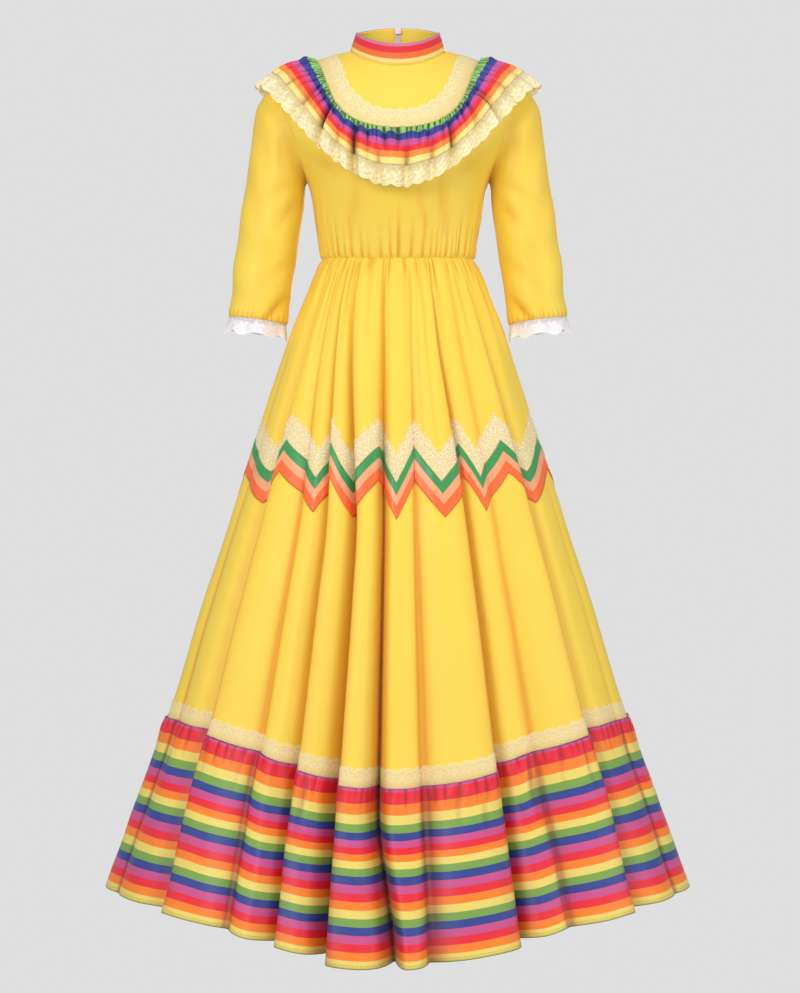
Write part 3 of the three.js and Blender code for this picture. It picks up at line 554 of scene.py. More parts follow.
# %% The lace's scallops, cords and flowers
lobe = bench.math("ABSOLUTE", bench.math("SINE", bench.times(repeat, math.pi)))
past = bench.minus(inside, bench.times(bench.scaled(lobe, -0.1, 0.1), width))
turned = bench.math("COSINE", bench.times(bench.math("ARCTAN2", up, across), 5.0))
petal = bench.times(bench.scaled(turned, 0.13, 0.3), pitch)
flower = bench.band(bench.over(bench.distance(across, up), petal), 0.7, 0.3, 0.35)
leaves = bench.step(bench.noise(given["Cloth"], 230.0, 3.0, Distortion=1.2), 0.48, 0.66)
knots = bench.step(bench.noise(given["Cloth"], 430.0, 4.0, Distortion=1.0), 0.42, 0.66)
cords = bench.most(bench.band(past, 0.0009, 0.0008, 0.0006), bench.band(past, 0.0042, 0.0005, 0.0006))
motif = bench.most(bench.times(flower, 0.8), bench.times(leaves, 0.6))
motif = bench.times(bench.most(motif, cords), bench.minus(1.0, given["Speckle"]))
solid = bench.most(motif, bench.times(knots, given["Speckle"]))

# %% The lace's net
mesh_inputs = {"Vector": given["Cloth"], "Scale": bench.over(1.0, given["Net"]), "Randomness": 0.4}
holes = bench.node("TexVoronoi", mesh_inputs, feature="DISTANCE_TO_EDGE").outputs["Distance"]
net = bench.band(holes, 0.0, 0.08, 0.1)
open_part = bench.step(bench.over(inside, width), 0.5, 0.85)
ground = bench.times(given["Ground"], bench.scaled(open_part, -0.35, 1.0))
filled = bench.most(bench.times(net, 0.5), solid)
bare = bench.times(bench.minus(1.0, ground), filled)
bench.wire(bench.times(bench.plus(ground, bare), bench.step(past, 0.0, 0.0006)), wanted["Cover"])
bench.wire(bench.scaled(net, 0.3, solid), wanted["Relief"])

# %% Stitches
stitches, bench, given, wanted = effect("stitches", {"Cloth": None, "Line": 0.0, "Length": 0.003}, ["Thread"])
x, y, _ = bench.split(given["Cloth"])
off = bench.math("ABSOLUTE", bench.minus(y, given["Line"]))
on_line = bench.minus(1.0, bench.step(off, 0.0003, 0.0005))
dash = bench.step(bench.math("FRACT", bench.over(x, given["Length"])), 0.28, 0.36)
bench.wire(bench.times(on_line, dash), wanted["Thread"])


# %% Materials
class Fabric(Bench):
    """A fabric's material: bench, shader and flat map. Its weave gives it relief and slight shading."""

    def __init__(self, name, roughness, sheen=0.15, threads=THREADS, relief=0.00003):
        self.material = bpy.data.materials.new(name)
        self.material.use_nodes = True
        super().__init__(self.material.node_tree)
        self.shader = self.tree.nodes["Principled BSDF"]
        for key, value in {"Specular IOR Level": 0.35, "Sheen Weight": sheen, "Sheen Roughness": 0.4}.items():
            self.shader.inputs[key].default_value = value
        self.flat = self.node("UVMap", {}, uv_map="Cloth").outputs["UV"]
        woven = self.use(weave, Cloth=self.flat, Threads=threads)
        self.tone = woven["Tone"]
        self.relief = woven["Relief"]
        self.depth = relief
        self.link("Roughness", self.scaled(self.tone, 0.14, roughness - 0.07))

    def link(self, key, value):
        self.wire(value, self.shader.inputs[key])

    def finish(self, colour, deep=(0.55, 0.4, 0.3, 1), depth=0.85):
        """The colour with the fabric's slight unevenness, painted shade in its folds, and its relief.
        deep is the colour that the painted shade multiplies in, and depth how much of it at the deepest."""
        uneven = self.blend(self.times(self.tone, 0.08), colour, (0, 0, 0, 1))
        # Painted shade: the attribute from the cloth's shape darkens the colour towards deep.
        fold = self.node("Attribute", {}, attribute_name="PaintedShade").outputs["Fac"]
        self.link("Base Color", self.blend(self.times(fold, depth), uneven, deep, "MULTIPLY"))
        bump = self.node("Bump", {"Height": self.relief, "Strength": 0.5, "Distance": self.depth})
        self.link("Normal", bump.outputs["Normal"])
        print(f"fabric {self.material.name}: {len(self.tree.nodes)} nodes")
        return self.material

    def striped(self, repeat, colours, ends):
        """Bands of colour along the cloth, every repeat mm. ends says at which share of it a band ends."""
        place = self.use(stripes, Cloth=self.flat, Repeat=repeat * MM)["Place"]
        bands = self.node("ValToRGB", {"Fac": place})
        bands.color_ramp.interpolation = "CONSTANT"
        points = bands.color_ramp.elements
        while len(points) < len(colours):
            points.new(0.5)
        for point, start, colour in zip(points, [0, *ends], colours):
            point.position, point.color = start, linear(*colour)
        return bands.outputs["Color"]

    def sewn(self, colour, thread, line, share=1.0, length=0.003):
        """The colour with a row of stitches in a thread of another colour, line mm up the flat map."""
        row = self.use(stitches, Cloth=self.flat, Line=line * MM, Length=length)["Thread"]
        return self.blend(self.times(row, share), colour, linear(*thread))


YELLOW = (252, 216, 78)
# deep is painted shade: an amber darkening of the yellow in its folds and between its gathers.
yellow_cloth = Fabric("yellow_cloth", 0.5).finish(linear(*YELLOW), deep=(0.84, 0.47, 0.07, 1))

# %% Striped cloth
STRIPE = 12.2
STRIPES = 6
SIXTHS = [i / STRIPES for i in range(1, STRIPES)]
FLOUNCE_COLOURS = [
    (240, 216, 108), (255, 132, 34), (238, 34, 54), (206, 80, 140), (48, 66, 146), (124, 166, 74),
]
RUFFLE_COLOURS = [
    (150, 212, 114), (58, 70, 160), (212, 84, 154), (246, 46, 56), (254, 142, 62), (255, 226, 134),
]
HEM_STITCH = 5.5
THREAD = (190, 150, 40)
fabric = Fabric("flounce_cloth", 0.46)
printed = fabric.striped(STRIPES * STRIPE, FLOUNCE_COLOURS, SIXTHS)
sewn_hem = fabric.sewn(printed, THREAD, HEM_STITCH)
turned_under = fabric.step(fabric.split(fabric.flat)[1], 0.0010, 0.0014)
striped_hem = fabric.blend(turned_under, linear(*FLOUNCE_COLOURS[-1]), sewn_hem)
# deep is painted shade: the stripes darken and redden in the flounce's folds.
flounce_cloth = fabric.finish(striped_hem, deep=(0.48, 0.26, 0.3, 1))
fabric = Fabric("ruffle_cloth", 0.46)
printed = fabric.striped(STRIPES * STRIPE, RUFFLE_COLOURS, SIXTHS)
# deep is painted shade: a near-black darkening between the ruffle's gathers and in its waves.
ruffle_cloth = fabric.finish(printed, deep=(0.1, 0.08, 0.1, 1), depth=0.95)

# %% Ribbons
RIBBON_RIBS = 2600.0  # ribs a metre
SPARE = 1.0  # the print's repeat is wider than the ribbon by this much, so its last band never wraps round
COLLAR_RIBBON = 29.0
COLLAR_COLOURS = [(205, 118, 158), (226, 48, 62), (236, 112, 52), (250, 214, 130)]
ZIGZAG_RIBBON = 49.0
ZIGZAG_COLOURS = [(64, 152, 84), (246, 168, 122), (255, 112, 52)]


def ribbon(name, colours, ends, width, stitched):
    """A satin ribbon with bands that end at the given shares of its width, and stitch lines, in mm."""
    fabric = Fabric(name, 0.36, threads=RIBBON_RIBS)
    colour = fabric.striped(width + SPARE, colours, [end * width / (width + SPARE) for end in ends])
    for line in stitched:
        colour = fabric.sewn(colour, (200, 140, 60), line, 0.5, 0.0024)
    # The default deep colour is painted shade in the ribbon's small hollows.
    return fabric.finish(colour)


collar_ribbon = ribbon(
    "collar_ribbon", COLLAR_COLOURS, [0.157, 0.487, 0.79], COLLAR_RIBBON, [0.8 * COLLAR_RIBBON]
)
zigzag_ribbon = ribbon(
    "zigzag_ribbon", ZIGZAG_COLOURS, [0.35, 0.64], ZIGZAG_RIBBON, [1.2, ZIGZAG_RIBBON - 1.2]
)


# %% Lace materials
def lace_fabric(name, colour, width, pitch, net, free_top, ground, frayed=0.0, speckle=0.0):
    """Lace with a flower every pitch mm, width mm deep. Its free edge, above or below, is scalloped, or
    ends in loose threads where frayed gives their share of the width. ground is how much the net covers."""
    fabric = Fabric(name, 0.75, sheen=0.1, relief=0.00001)
    y = fabric.split(fabric.flat)[1]
    inside = y if free_top else fabric.minus(width * MM, y)
    sizes = {"Width": width * MM, "Pitch": pitch * MM, "Net": net * MM, "Ground": ground, "Speckle": speckle}
    pattern = fabric.use(lace, Cloth=fabric.flat, Inside=inside, **sizes)
    cover = pattern["Cover"]
    if frayed:
        uneven = fabric.step(fabric.noise(fabric.flat, 260.0, 4.0), 0.35, 0.65)
        loose = fabric.times(uneven, 2 * frayed * width * MM)
        thin = fabric.step(fabric.minus(inside, loose), -0.002, 0.5 * frayed * width * MM)
        cover = fabric.times(cover, thin)
    fabric.link("Alpha", fabric.times(cover, 0.95))
    fabric.relief = pattern["Relief"]
    # deep is painted shade: a slight warm darkening of the lace in its hollows.
    return fabric.finish(linear(*colour), deep=(1, 0.93, 0.84, 1))


RUFFLE_LACE = 34.0
SKIRT_LACE = 37.0
ZIGZAG_LACE = 47.0
YOKE_LACE = 36.0
CUFF_LACE = 24.0
CREAM, PALE_CREAM, BUTTER, WHITE = (255, 244, 198), (255, 248, 215), (255, 243, 190), (252, 247, 252)
ruffle_lace_cloth = lace_fabric("ruffle_lace", CREAM, RUFFLE_LACE, 23, 2.0, False, 0.56)
yoke_lace_cloth = lace_fabric("yoke_lace", BUTTER, YOKE_LACE, 21, 1.8, True, 0.55, speckle=0.3)
skirt_lace_cloth = lace_fabric("skirt_lace", BUTTER, SKIRT_LACE, 19, 1.7, True, 0.42, speckle=0.45)
zigzag_lace_cloth = lace_fabric("zigzag_lace", PALE_CREAM, ZIGZAG_LACE, 14, 1.7, True, 0.3, 0.12, 1.0)
cuff_lace_cloth = lace_fabric("cuff_lace", WHITE, CUFF_LACE, 26, 1.3, False, 0.75)

# %% [markdown]
# ## Collar, yoke and bodice
# The collar is a stiff stand of cloth with a ribbon sewn round it, and it opens at the back, at the zip.
# The yoke is one round piece that lies flat on the shoulders. The bodice hangs from the seam under the
# ruffle and is drawn in by elastic at the waist, so its gathers fan upwards from there. A cylinder or a
# cone is too regular for a body, so each piece is a grid hung on the smooth sections above.

# %% Collar
ZIP_SLIT = 2.4  # the two edges of the back opening stand this far apart
RIBBON_LIE = 0.9
COLLAR_THICK, RIBBON_THICK = 1.6, 0.7
COLLAR_TOP_DROP = 0.6  # so that the ribbon hides the collar's upper edge


def slit(points, edges=(-1, 1)):
    """Cloth's edges at the centre back stand clear of the zip: -1 is the first column, and 1 the last."""
    for edge in edges:
        points[:, 0 if edge < 0 else -1, 0] = edge * ZIP_SLIT / 2
    return points


def open_ring(count):
    return np.linspace(-180, 180, count + 1)


def collar_grid(foot):
    """The collar from its upper edge, 0, down to its foot, which is 1 at the seam with the yoke."""
    return slit(collar_point(*grid_of(open_ring(180), np.linspace(0, foot, 13))))


collar_points = collar_grid(1)
collar_points[0] -= [0, 0, COLLAR_TOP_DROP]
collar = hang("collar", collar_points, flat_cut(collar_points), yellow_cloth, COLLAR_THICK)
band_points = raised(collar_grid(0.94), RIBBON_LIE)
collar_band = hang("collar_band", band_points, flat_cut(band_points), collar_ribbon, RIBBON_THICK)

# %% Yoke
RUFFLE_SEAM_SIDE = 0.19  # at the side, on the trunk's scale from neck (0) to waist (1)
YOKE_LACE_SHARE = 0.106  # how far the lace reaches up from the seam, on the same scale


def ruffle_seam(angle):
    """Where the ruffle is sewn on: lower at the front and the back than at the side."""
    along = np.cos(np.radians(angle))
    front, back = 0.19 * np.abs(along) ** 3.5, 0.16 * np.abs(along) ** 3
    return RUFFLE_SEAM_SIDE + np.where(along > 0, front, back)


def yoke_point(angle, share):
    points = trunk_point(angle, share * ruffle_seam(angle))
    return lifted(points, slack(points, 3, 60, 0.8))


yoke_points = slit(yoke_point(*grid_of(open_ring(240), np.linspace(0, 1, 26))))
yoke = hang("yoke", yoke_points, flat_cut(yoke_points), yellow_cloth)


def lace_rows(angle, share):
    """Down the yoke's lace, from its upper edge to the seam."""
    seam = ruffle_seam(angle)
    return mix((seam - YOKE_LACE_SHARE) / seam, 1, share)


angle, share = grid_of(open_ring(500), np.linspace(0, 1, 9))
lace_points = raised(slit(yoke_point(angle, lace_rows(angle, share))), 0.6)
lace_flat = flat_cut(lace_points, share * YOKE_LACE)
yoke_lace = hang("yoke_lace", lace_points, lace_flat, yoke_lace_cloth, thick=0)

# %% Bodice
SHOULDER, ARMPIT = 0.36, 0.64  # the armhole's top and foot, on the trunk's scale
ARMHOLE_FRONT, ARMHOLE_BACK = 30, 26  # how far it cuts into front and back, in degrees
GATHERS_REACH = 0.34  # how far up from the waist the gathers go, on the trunk's scale
waist_gathers = gathers(5, 58, 1.2)
waist_ripples = gathers(6, 37, 1.6)
BUST_CREASES = [  # start and end as (x, z), width and depth
    ((-118, -170), (-92, -196), 9, 2.2),
    ((118, -170), (92, -196), 9, 2.2),
    ((-60, -215), (-72, -285), 10, 1.6),
    ((62, -205), (70, -280), 9, 2.0),
    ((30, -225), (44, -290), 8, 1.6),
]


def panel_reach(at, armhole):
    """How far round a panel reaches: to the side seam, or less at the armhole, in degrees."""
    share = np.clip((at - SHOULDER) / (ARMPIT - SHOULDER), 0, 1)
    return 90 - armhole * np.abs(np.sin(math.pi * share)) ** 0.8


def bodice_point(middle, armhole, across, down):
    """across runs -1 to 1 over the panel, down 0 to 1 from the ruffle's seam to the waist."""
    at = mix(ruffle_seam(middle + across * 90), 1, down)
    angle = middle + across * mix(90, panel_reach(at, armhole), smooth(down / 0.12))
    points = trunk_point(angle, at)
    above = (1 - at) / GATHERS_REACH
    strong = (0.8 + 2.4 * smooth((1 - at) / 0.02)) * (1 - 0.5 * smooth(above))
    lift = waist_gathers(angle / 360, above) * strong + 1.6 * waist_ripples(angle / 360, above * 0.7)
    lift = lift - 0.5 * (1 - smooth((1 - at) / 0.012))
    lift = lift + slack(points, 11, 80, 1.4) * smooth(down / 0.2) * smooth((1 - down) / 0.2)
    return lifted(points, lift + creases(points, BUST_CREASES))


def bodice_panel(name, middle, armhole, start, end, columns, edges=()):
    across, down = grid_of(np.linspace(start, end, columns), 1 - np.linspace(1, 0, 80) ** 1.25)
    points = slit(bodice_point(middle, armhole, across, down), edges)
    # tight is painted shade: in the gaps between the waist gathers and along the bust creases.
    tight = 0.7 * painted_gap_shade(waist_gathers, (middle + across * 90) / 360, (1 - down) / 0.1, 0.35)
    tight = tight + 0.45 * pressed(points, BUST_CREASES)
    return hang(name, points, flat_cut(points), yellow_cloth, shade=tight)


bodice_front = bodice_panel("bodice_front", 0, ARMHOLE_FRONT, -1, 1, 240)
bodice_back_left = bodice_panel("bodice_back_left", 180, ARMHOLE_BACK, -1, 0, 110, (1,))
bodice_back_right = bodice_panel("bodice_back_right", 180, ARMHOLE_BACK, 0, 1, 110, (-1,))

# %% [markdown]
# ## Sleeves and their lace
# A sleeve is a tube from the armhole to a cuff below the elbow, where elastic draws it in and a white lace
# frill is sewn on. The tube's grid is closed into a ring by merging its first and last column. The one on
# the other arm is its mirror image, with the columns in the opposite order so that it isn't inside out.

# %% Sleeves
ARMHOLE_TUCK = -0.3  # the sleeve's edge lies this far inside the bodice
SLEEVE_COLUMNS = 150
SLEEVE_CREASES = [
    ((168, -372), (200, -412), 6.5, 4.2),
    ((148, -228), (178, -268), 9, 2.6),
    ((146, -198), (196, -228), 10, 1.6),
    ((150, -182), (170, -112), 9, 3.4),
    ((178, -128), (166, -196), 8, 2.4),
    ((206, -96), (194, -186), 12, 2.0),
    ((222, -190), (200, -300), 13, 1.8),
    ((160, -318), (196, -352), 9, 2.0),
    ((196, -300), (214, -396), 11, 1.8),
]
cuff_gathers = gathers(8, 34, 1.0)


def armhole_point(turn):
    """The armhole's edge on the trunk: 0 is the shoulder point, 0.5 the armpit, by way of the back."""
    at = mix(SHOULDER, ARMPIT, (1 - np.cos(TURN * turn)) / 2)
    back = np.mod(turn, 1) < 0.5
    reach = panel_reach(at, np.where(back, ARMHOLE_BACK, ARMHOLE_FRONT))
    return trunk_point(np.where(back, 180 - reach, reach), at)


def sleeve_base(turn, at):
    """The plain tube: turn is 0 on its outer side, and at runs from the armhole, 0, to the cuff, 1."""
    row = section(SLEEVE, at)
    outer = (1 + np.cos(TURN * turn)) / 2
    x = mix(row["inner"], row["outer"], outer)
    y = row["depth"] * np.sin(TURN * turn)
    z = mix(row["inner_z"], row["outer_z"], outer)
    edge = armhole_point(turn) + [ARMHOLE_TUCK, 0, 0]
    return mix(np.stack([x, y, z], axis=-1), edge, (1 - smooth(at / 0.16))[..., None])


def sleeve_point(turn, at):
    points = sleeve_base(turn, at)
    away = unit(points - sleeve_base(turn + 0.5, at))
    above = 1 - at
    lift = cuff_gathers(turn, above / 0.12) * (0.5 + 1.3 * smooth(above / 0.02))
    lift = lift - 1.0 * (1 - smooth(above / 0.015))
    lift = lift + slack(points, 21, 95, 2.4) * smooth(at / 0.2) * smooth(above / 0.1)
    return points + away * (lift + creases(points, SLEEVE_CREASES))[..., None]


def cuff_lace_point(turn, drop):
    """The frill below a cuff: its top runs round the cuff and its foot waves in and out."""
    top = sleeve_base(turn, np.ones_like(turn))
    foot = unit(top - sleeve_base(turn, np.full_like(turn, 0.9)))
    away = outwards(top - sleeve_base(turn + 0.5, np.ones_like(turn)))
    ripple = 4.0 + 2.4 * np.cos(TURN * 7 * turn + 0.6) + 0.5 * np.cos(TURN * 17 * turn + 1)
    long = CUFF_LACE * (1 + 0.11 * np.cos(TURN * 7 * turn + 2) - 0.36 * smooth(np.sin(TURN * turn) * 1.6))
    return top + foot * (drop * long)[..., None] + away * (drop * ripple - 0.8 * (1 - drop))[..., None]


def both_arms(name, points, flat, material, shade, **cut):
    """The piece on the wearer's left arm, and its mirror image on the right."""
    other, turned = points[:, ::-1] * [-1, 1, 1], flat[:, ::-1]
    return [
        hang(name + "_left", points, flat, material, ring=True, shade=shade, **cut),
        hang(name + "_right", other, turned, material, ring=True, shade=shade[:, ::-1], **cut),
    ]


turn, at = grid_of(np.linspace(0, 1, SLEEVE_COLUMNS + 1), 1 - np.linspace(1, 0, 96) ** 1.15)
points = sleeve_point(turn, at)
# tight is painted shade: in the gaps between the cuff gathers and along the sleeve's creases.
tight = 0.8 * painted_gap_shade(cuff_gathers, turn, (1 - at) / 0.05, 0.5) + 0.32 * pressed(points, SLEEVE_CREASES)
sleeves = both_arms("sleeve", points, flat_cut(points), yellow_cloth, tight)
turn, drop = grid_of(np.linspace(0, 1, 261), np.linspace(0, 1, 10))
points = cuff_lace_point(turn, drop)
cuff_flat = flat_cut(points, drop * CUFF_LACE)
cuff_laces = both_arms("cuff_lace", points, cuff_flat, cuff_lace_cloth, 0 * drop, thick=0)

# %% [markdown]
# ## Ruffle
# The ruffle is a strip of striped cloth, gathered tightly onto the round seam of the yoke and left free
# below, with lace sewn under its edge. The strip is longer than the seam, so it can't lie flat: it throws
# big waves at its foot and tiny sharp gathers at its top. The big waves come from a table of valleys and
# crests, and the tiny ones from the same ridges as at the waist.

# %% Ruffle
RUFFLE_WAVES = table(
    "angle deep crest_at crest",
    (-90, 5, 0.5, 7), (-76, 6, 0.45, 8), (-61, 8, 0.6, 6), (-47, 9, 0.5, 5), (-33, 20, 0.2, 13),
    (-25, 5, 0.5, 7), (-17, 19, 0.22, 15), (-7, 5, 0.5, 11), (3, 8, 0.45, 9), (13, 9, 0.5, 5),
    (22, 13, 0.35, 9), (34, 4, 0.8, 15), (44, 18, 0.5, 4), (58, 8, 0.5, 7), (74, 6, 0.5, 8),
    (90, 5, 0.5, 8), (103, 10, 0.5, 8), (117, 12, 0.6, 10), (130, 10, 0.5, 9), (143, 13, 0.4, 10),
    (156, 10, 0.5, 9), (168, 9, 0.5, 8), (180, 6, 0.5, 8), (192, 9, 0.5, 9), (205, 12, 0.6, 9),
    (218, 10, 0.5, 10), (231, 13, 0.45, 9), (244, 10, 0.5, 8), (257, 9, 0.5, 7),
)
RUFFLE_STRIPES = 0.69  # how far down the striped cloth reaches, the lace's edge being 1
RUFFLE_COUNT = len(RUFFLE_WAVES["angle"])
RUFFLE_BACK = int(np.flatnonzero(RUFFLE_WAVES["angle"] == 180)[0])
ruffle_gathers = gathers(9, 184, 0.8)
ruffle_pleats = gathers(10, 68, 1.1)


def wave(phase, crest_at, low_here, low_next, crest, flat):
    """A wave between two valleys: flat is how round its crest is, and how steep its sides."""
    rising = phase < crest_at
    way = np.where(rising, phase / crest_at, (1 - phase) / (1 - crest_at))
    low = np.where(rising, low_here, low_next)
    return mix(low, crest, 1 - (1 - np.clip(way, 0, 1)) ** flat)


def eased(height, turn, reach=0.06):
    """A height with its sharp valleys rounded, as an average over the places close by."""
    return sum(height(turn + shift * reach) for shift in (-1, -0.5, 0, 0.5, 1)) / 5


def ruffle_wave(turn):
    """How far the big waves lift the ruffle, in mm. turn counts waves; whole numbers are valleys."""
    k = np.floor(turn).astype(int)
    here, after = k % RUFFLE_COUNT, (k + 1) % RUFFLE_COUNT
    low = [-RUFFLE_WAVES["deep"][fold] for fold in (here, after)]
    return wave(turn - k, RUFFLE_WAVES["crest_at"][here], *low, RUFFLE_WAVES["crest"][here], 2.2)


def ruffle_angle(turn):
    knots = np.arange(-1, 2 * RUFFLE_COUNT)
    angles = RUFFLE_WAVES["angle"][knots % RUFFLE_COUNT] + 360 * (knots // RUFFLE_COUNT)
    return np.interp(turn, knots, angles)


def ruffle_point(turn, share):
    """share runs from the seam, 0, to the lace's edge, 1."""
    angle = ruffle_angle(turn)
    seam = trunk_point(angle, ruffle_seam(angle))
    below = trunk_point(angle, ruffle_seam(angle) + 0.01) - seam
    beside = trunk_point(angle + 1, ruffle_seam(angle + 1)) - seam
    up = unit(np.cross(below, beside))
    free = np.clip(share, 0, 1)
    arch = 14 * np.sin(math.pi * free)
    place = angle / 360
    pleat = ruffle_pleats(place, free / 1.25)
    drawn = 5 * ruffle_gathers(place, free / 0.42) + 11 * pleat * smooth(free / 0.16)
    swing = eased(ruffle_wave, turn)
    lift = 0.6 + arch + swing * free**0.8 + drawn - 9 * smooth(free / 0.25)
    hem = (0.0045 * np.minimum(swing, 0) + 0.0032 * np.maximum(swing, 0)) * free
    slid = share + 0.06 * (pleat - 0.4) * np.sin(math.pi * free) ** 0.7 + hem
    return mix(seam, ring_point(RUFFLE_EDGE, angle), slid[..., None]) + up * lift[..., None]


# %% The ruffle's cloth
# Pleats pull the stripes up where they are tightest, and shade is painted between gathers and in valleys.
ruffle_turns = np.linspace(RUFFLE_BACK, RUFFLE_BACK + RUFFLE_COUNT, 1401)
turn, share = grid_of(ruffle_turns, RUFFLE_STRIPES * np.linspace(0.004, 1, 31) ** 1.15)
points = slit(ruffle_point(turn, share))
place = ruffle_angle(turn) / 360
pulled = 7 * (ruffle_pleats(place, share / 1.1) - 0.4 * (1 - share))
pulled = pulled * smooth(share / 0.1) * (1 - smooth(share / 0.66))
below = (share / RUFFLE_STRIPES) ** 1.08 * (STRIPES * STRIPE - 0.2) + np.maximum(pulled, -2)
ruffle_flat = flat_cut(points, np.maximum(below, 0.2))
# closes, tight and valley make painted shade: between gathers and pleats, and at the foot of deep waves.
closes = share / (0.12 + 0.3 * ruffle_pleats(place, 0 * place))
tight = 1.5 * painted_gap_shade(ruffle_gathers, place, closes, 0.66)
tight = tight + 0.5 * painted_gap_shade(ruffle_pleats, place, share / 0.55, 0.3)
nearest = np.rint(turn).astype(int)
valley = RUFFLE_WAVES["deep"][nearest % RUFFLE_COUNT] / 20
tight = tight + 0.5 * valley**3 * (1 - smooth(np.abs(turn - nearest) / 0.32)) * smooth(share / 0.3)
# The folds scales paint more shade into the ruffle's hollows.
ruffle = hang("ruffle", points, ruffle_flat, ruffle_cloth, folds=[(7, 5), (22, 26)], shade=tight)

# %% The ruffle's lace
LACE_UNDER = 0.02  # how far it goes up under the stripes, on the same scale
turn, drop = grid_of(ruffle_turns, np.linspace(0, 1, 12))
points = raised(slit(ruffle_point(turn, mix(RUFFLE_STRIPES - LACE_UNDER, 1, drop))), -1.2)
lace_flat = flat_cut(points, drop * RUFFLE_LACE)
ruffle_lace = hang("ruffle_lace", points, lace_flat, ruffle_lace_cloth, thick=0)

# %% [markdown]
# ## Skirt
# The skirt is the cone of cloth that carries the dance. Its folds come from one table: each row is a valley
# with its place at the waist, at the flounce and at the hem, and the crest after it. A crest close to its
# valley gives the steep side of a fold that laps over its neighbour. The columns of the grid are spread
# evenly along the cloth and not along the girth, so a deep fold gets as many points as it needs, and the
# flat map counts real cloth.

# %% Folds
FOLDS = table(
    "waist low hem deep deep_hem crest_at crest crest_hem flat",
    (-90, -90, -90, 3, 4, 0.5, 3, 4, 2.2),
    (-72, -72, -71, 4, 4, 0.5, 2, 4, 2.2),
    (-53, -52, -50, 38, 22, 0.15, 14, 12, 3),
    (-44, -36, -34, 9, 10, 0.5, 3, 6, 2.2),
    (-35, -25, -24, 40, 34, 0.2, 10, 8, 3.6),
    (-27, -13.2, -13.2, 60, 58, 0.22, 36, 40, 4.2),
    (-8, -5, -0.6, 40, 36, 0.35, 16, 30, 2.6),
    (7, 6, 6, 8, 14, 0.78, 18, 10, 2.6),
    (21, 25.3, 25, 46, 46, 0.5, -14, -8, 2.2),
    (34, 36, 35, 12, 14, 0.78, 14, 12, 2.6),
    (50, 53, 51, 36, 20, 0.5, -4, 3, 2.2),
    (70, 72, 70, 4, 5, 0.45, 2, 4, 2.2),
    (90, 90, 90, 4, 5, 0.6, 5, 8, 2.2),
    (107, 106, 106, 20, 24, 0.7, 8, 12, 2.6),
    (121, 121, 121, 38, 36, 0.75, 12, 14, 3),
    (136, 134, 134, 30, 30, 0.5, 6, 10, 2.4),
    (149, 150, 150, 46, 42, 0.7, 20, 22, 3),
    (163, 164, 164, 26, 30, 0.5, 12, 18, 2.4),
    (180, 180, 180, 40, 38, 0.4, 22, 26, 2.6),
    (196, 194, 194, 24, 30, 0.5, 10, 16, 2.4),
    (208, 208, 208, 44, 40, 0.25, 14, 16, 3),
    (222, 223, 223, 22, 26, 0.5, 4, 8, 2.4),
    (237, 238, 238, 36, 32, 0.3, 10, 12, 2.8),
    (254, 254, 254, 18, 22, 0.4, 5, 7, 2.4),
)
FOLD_COUNT = len(FOLDS["waist"])
SIDE = int(np.flatnonzero(FOLDS["low"] == 90)[0])
BACK = int(np.flatnonzero(FOLDS["low"] == 180)[0])


def valley_angle(k, at):
    fold = k % FOLD_COUNT
    low = mix(FOLDS["waist"][fold], FOLDS["low"][fold], smooth(at / 0.6))
    return 360 * (k // FOLD_COUNT) + mix(low, FOLDS["hem"][fold], smooth(at - 1))


def fold_height(turn, at):
    """How far the folds lift the cloth from the cone, in mm. turn counts folds; whole numbers are valleys."""
    k = np.floor(turn).astype(int)
    here, after = k % FOLD_COUNT, (k + 1) % FOLD_COUNT
    flare = smooth(at - 1)
    low = [-mix(FOLDS["deep"][fold], FOLDS["deep_hem"][fold], flare) for fold in (here, after)]
    crest = mix(FOLDS["crest"][here], FOLDS["crest_hem"][here], flare)
    return wave(turn - k, FOLDS["crest_at"][here], *low, crest, FOLDS["flat"][here])


def skirt_base(turn, at):
    k = np.floor(turn).astype(int)
    angle = mix(valley_angle(k, at), valley_angle(k + 1, at), turn - k)
    height = np.clip(at, 0, 1) ** 0.9 * eased(lambda place: fold_height(place, at), turn, 0.02)
    return lifted(ring_point(section(SKIRT, at), angle), height)


def fold_shade(turn, at):
    """Painted shade along the foot of a deep fold: 1 there, and 0 on its crest."""
    nearest = np.rint(turn).astype(int)
    foot = 1 - smooth(np.abs(turn - nearest) / 0.42)
    return foot * np.clip(FOLDS["deep"][nearest % FOLD_COUNT] / 55, 0, 1) ** 1.5 * smooth(at / 0.5)


# %% Cloth round the skirt
# Measured near the flounce, for each place round it, with 6001 points on the folds.
fine_turns = np.linspace(0, FOLD_COUNT, 6001)
fine_cloth = lengths(skirt_base(*grid_of(fine_turns, [0.9])), 1)[0]
CLOTH_ROUND = fine_cloth[-1]
print("cloth round the skirt:", round(CLOTH_ROUND), "mm")


def cloth_at(turn):
    return np.interp(turn, fine_turns, fine_cloth)


def share_round(turn):
    return cloth_at(turn) / CLOTH_ROUND


def cloth_map(turn, down):
    return np.stack([cloth_at(turn), down], axis=-1)


def even_turns(start, end, spacing):
    """Places from one fold to another, spread evenly along the cloth, spacing mm apart."""
    first, last = cloth_at(start), cloth_at(end)
    return np.interp(np.linspace(first, last, round((last - first) / spacing) + 1), fine_cloth, fine_turns)


# %% The skirt's cloth
TUCK = 0.008  # how far the skirt goes up under the bodice, as a share of its length
skirt_gathers = gathers(12, 62, 0.9)
skirt_ripples = gathers(13, 44, 1.4)
long_ripples = gathers(14, 52, 1.8)


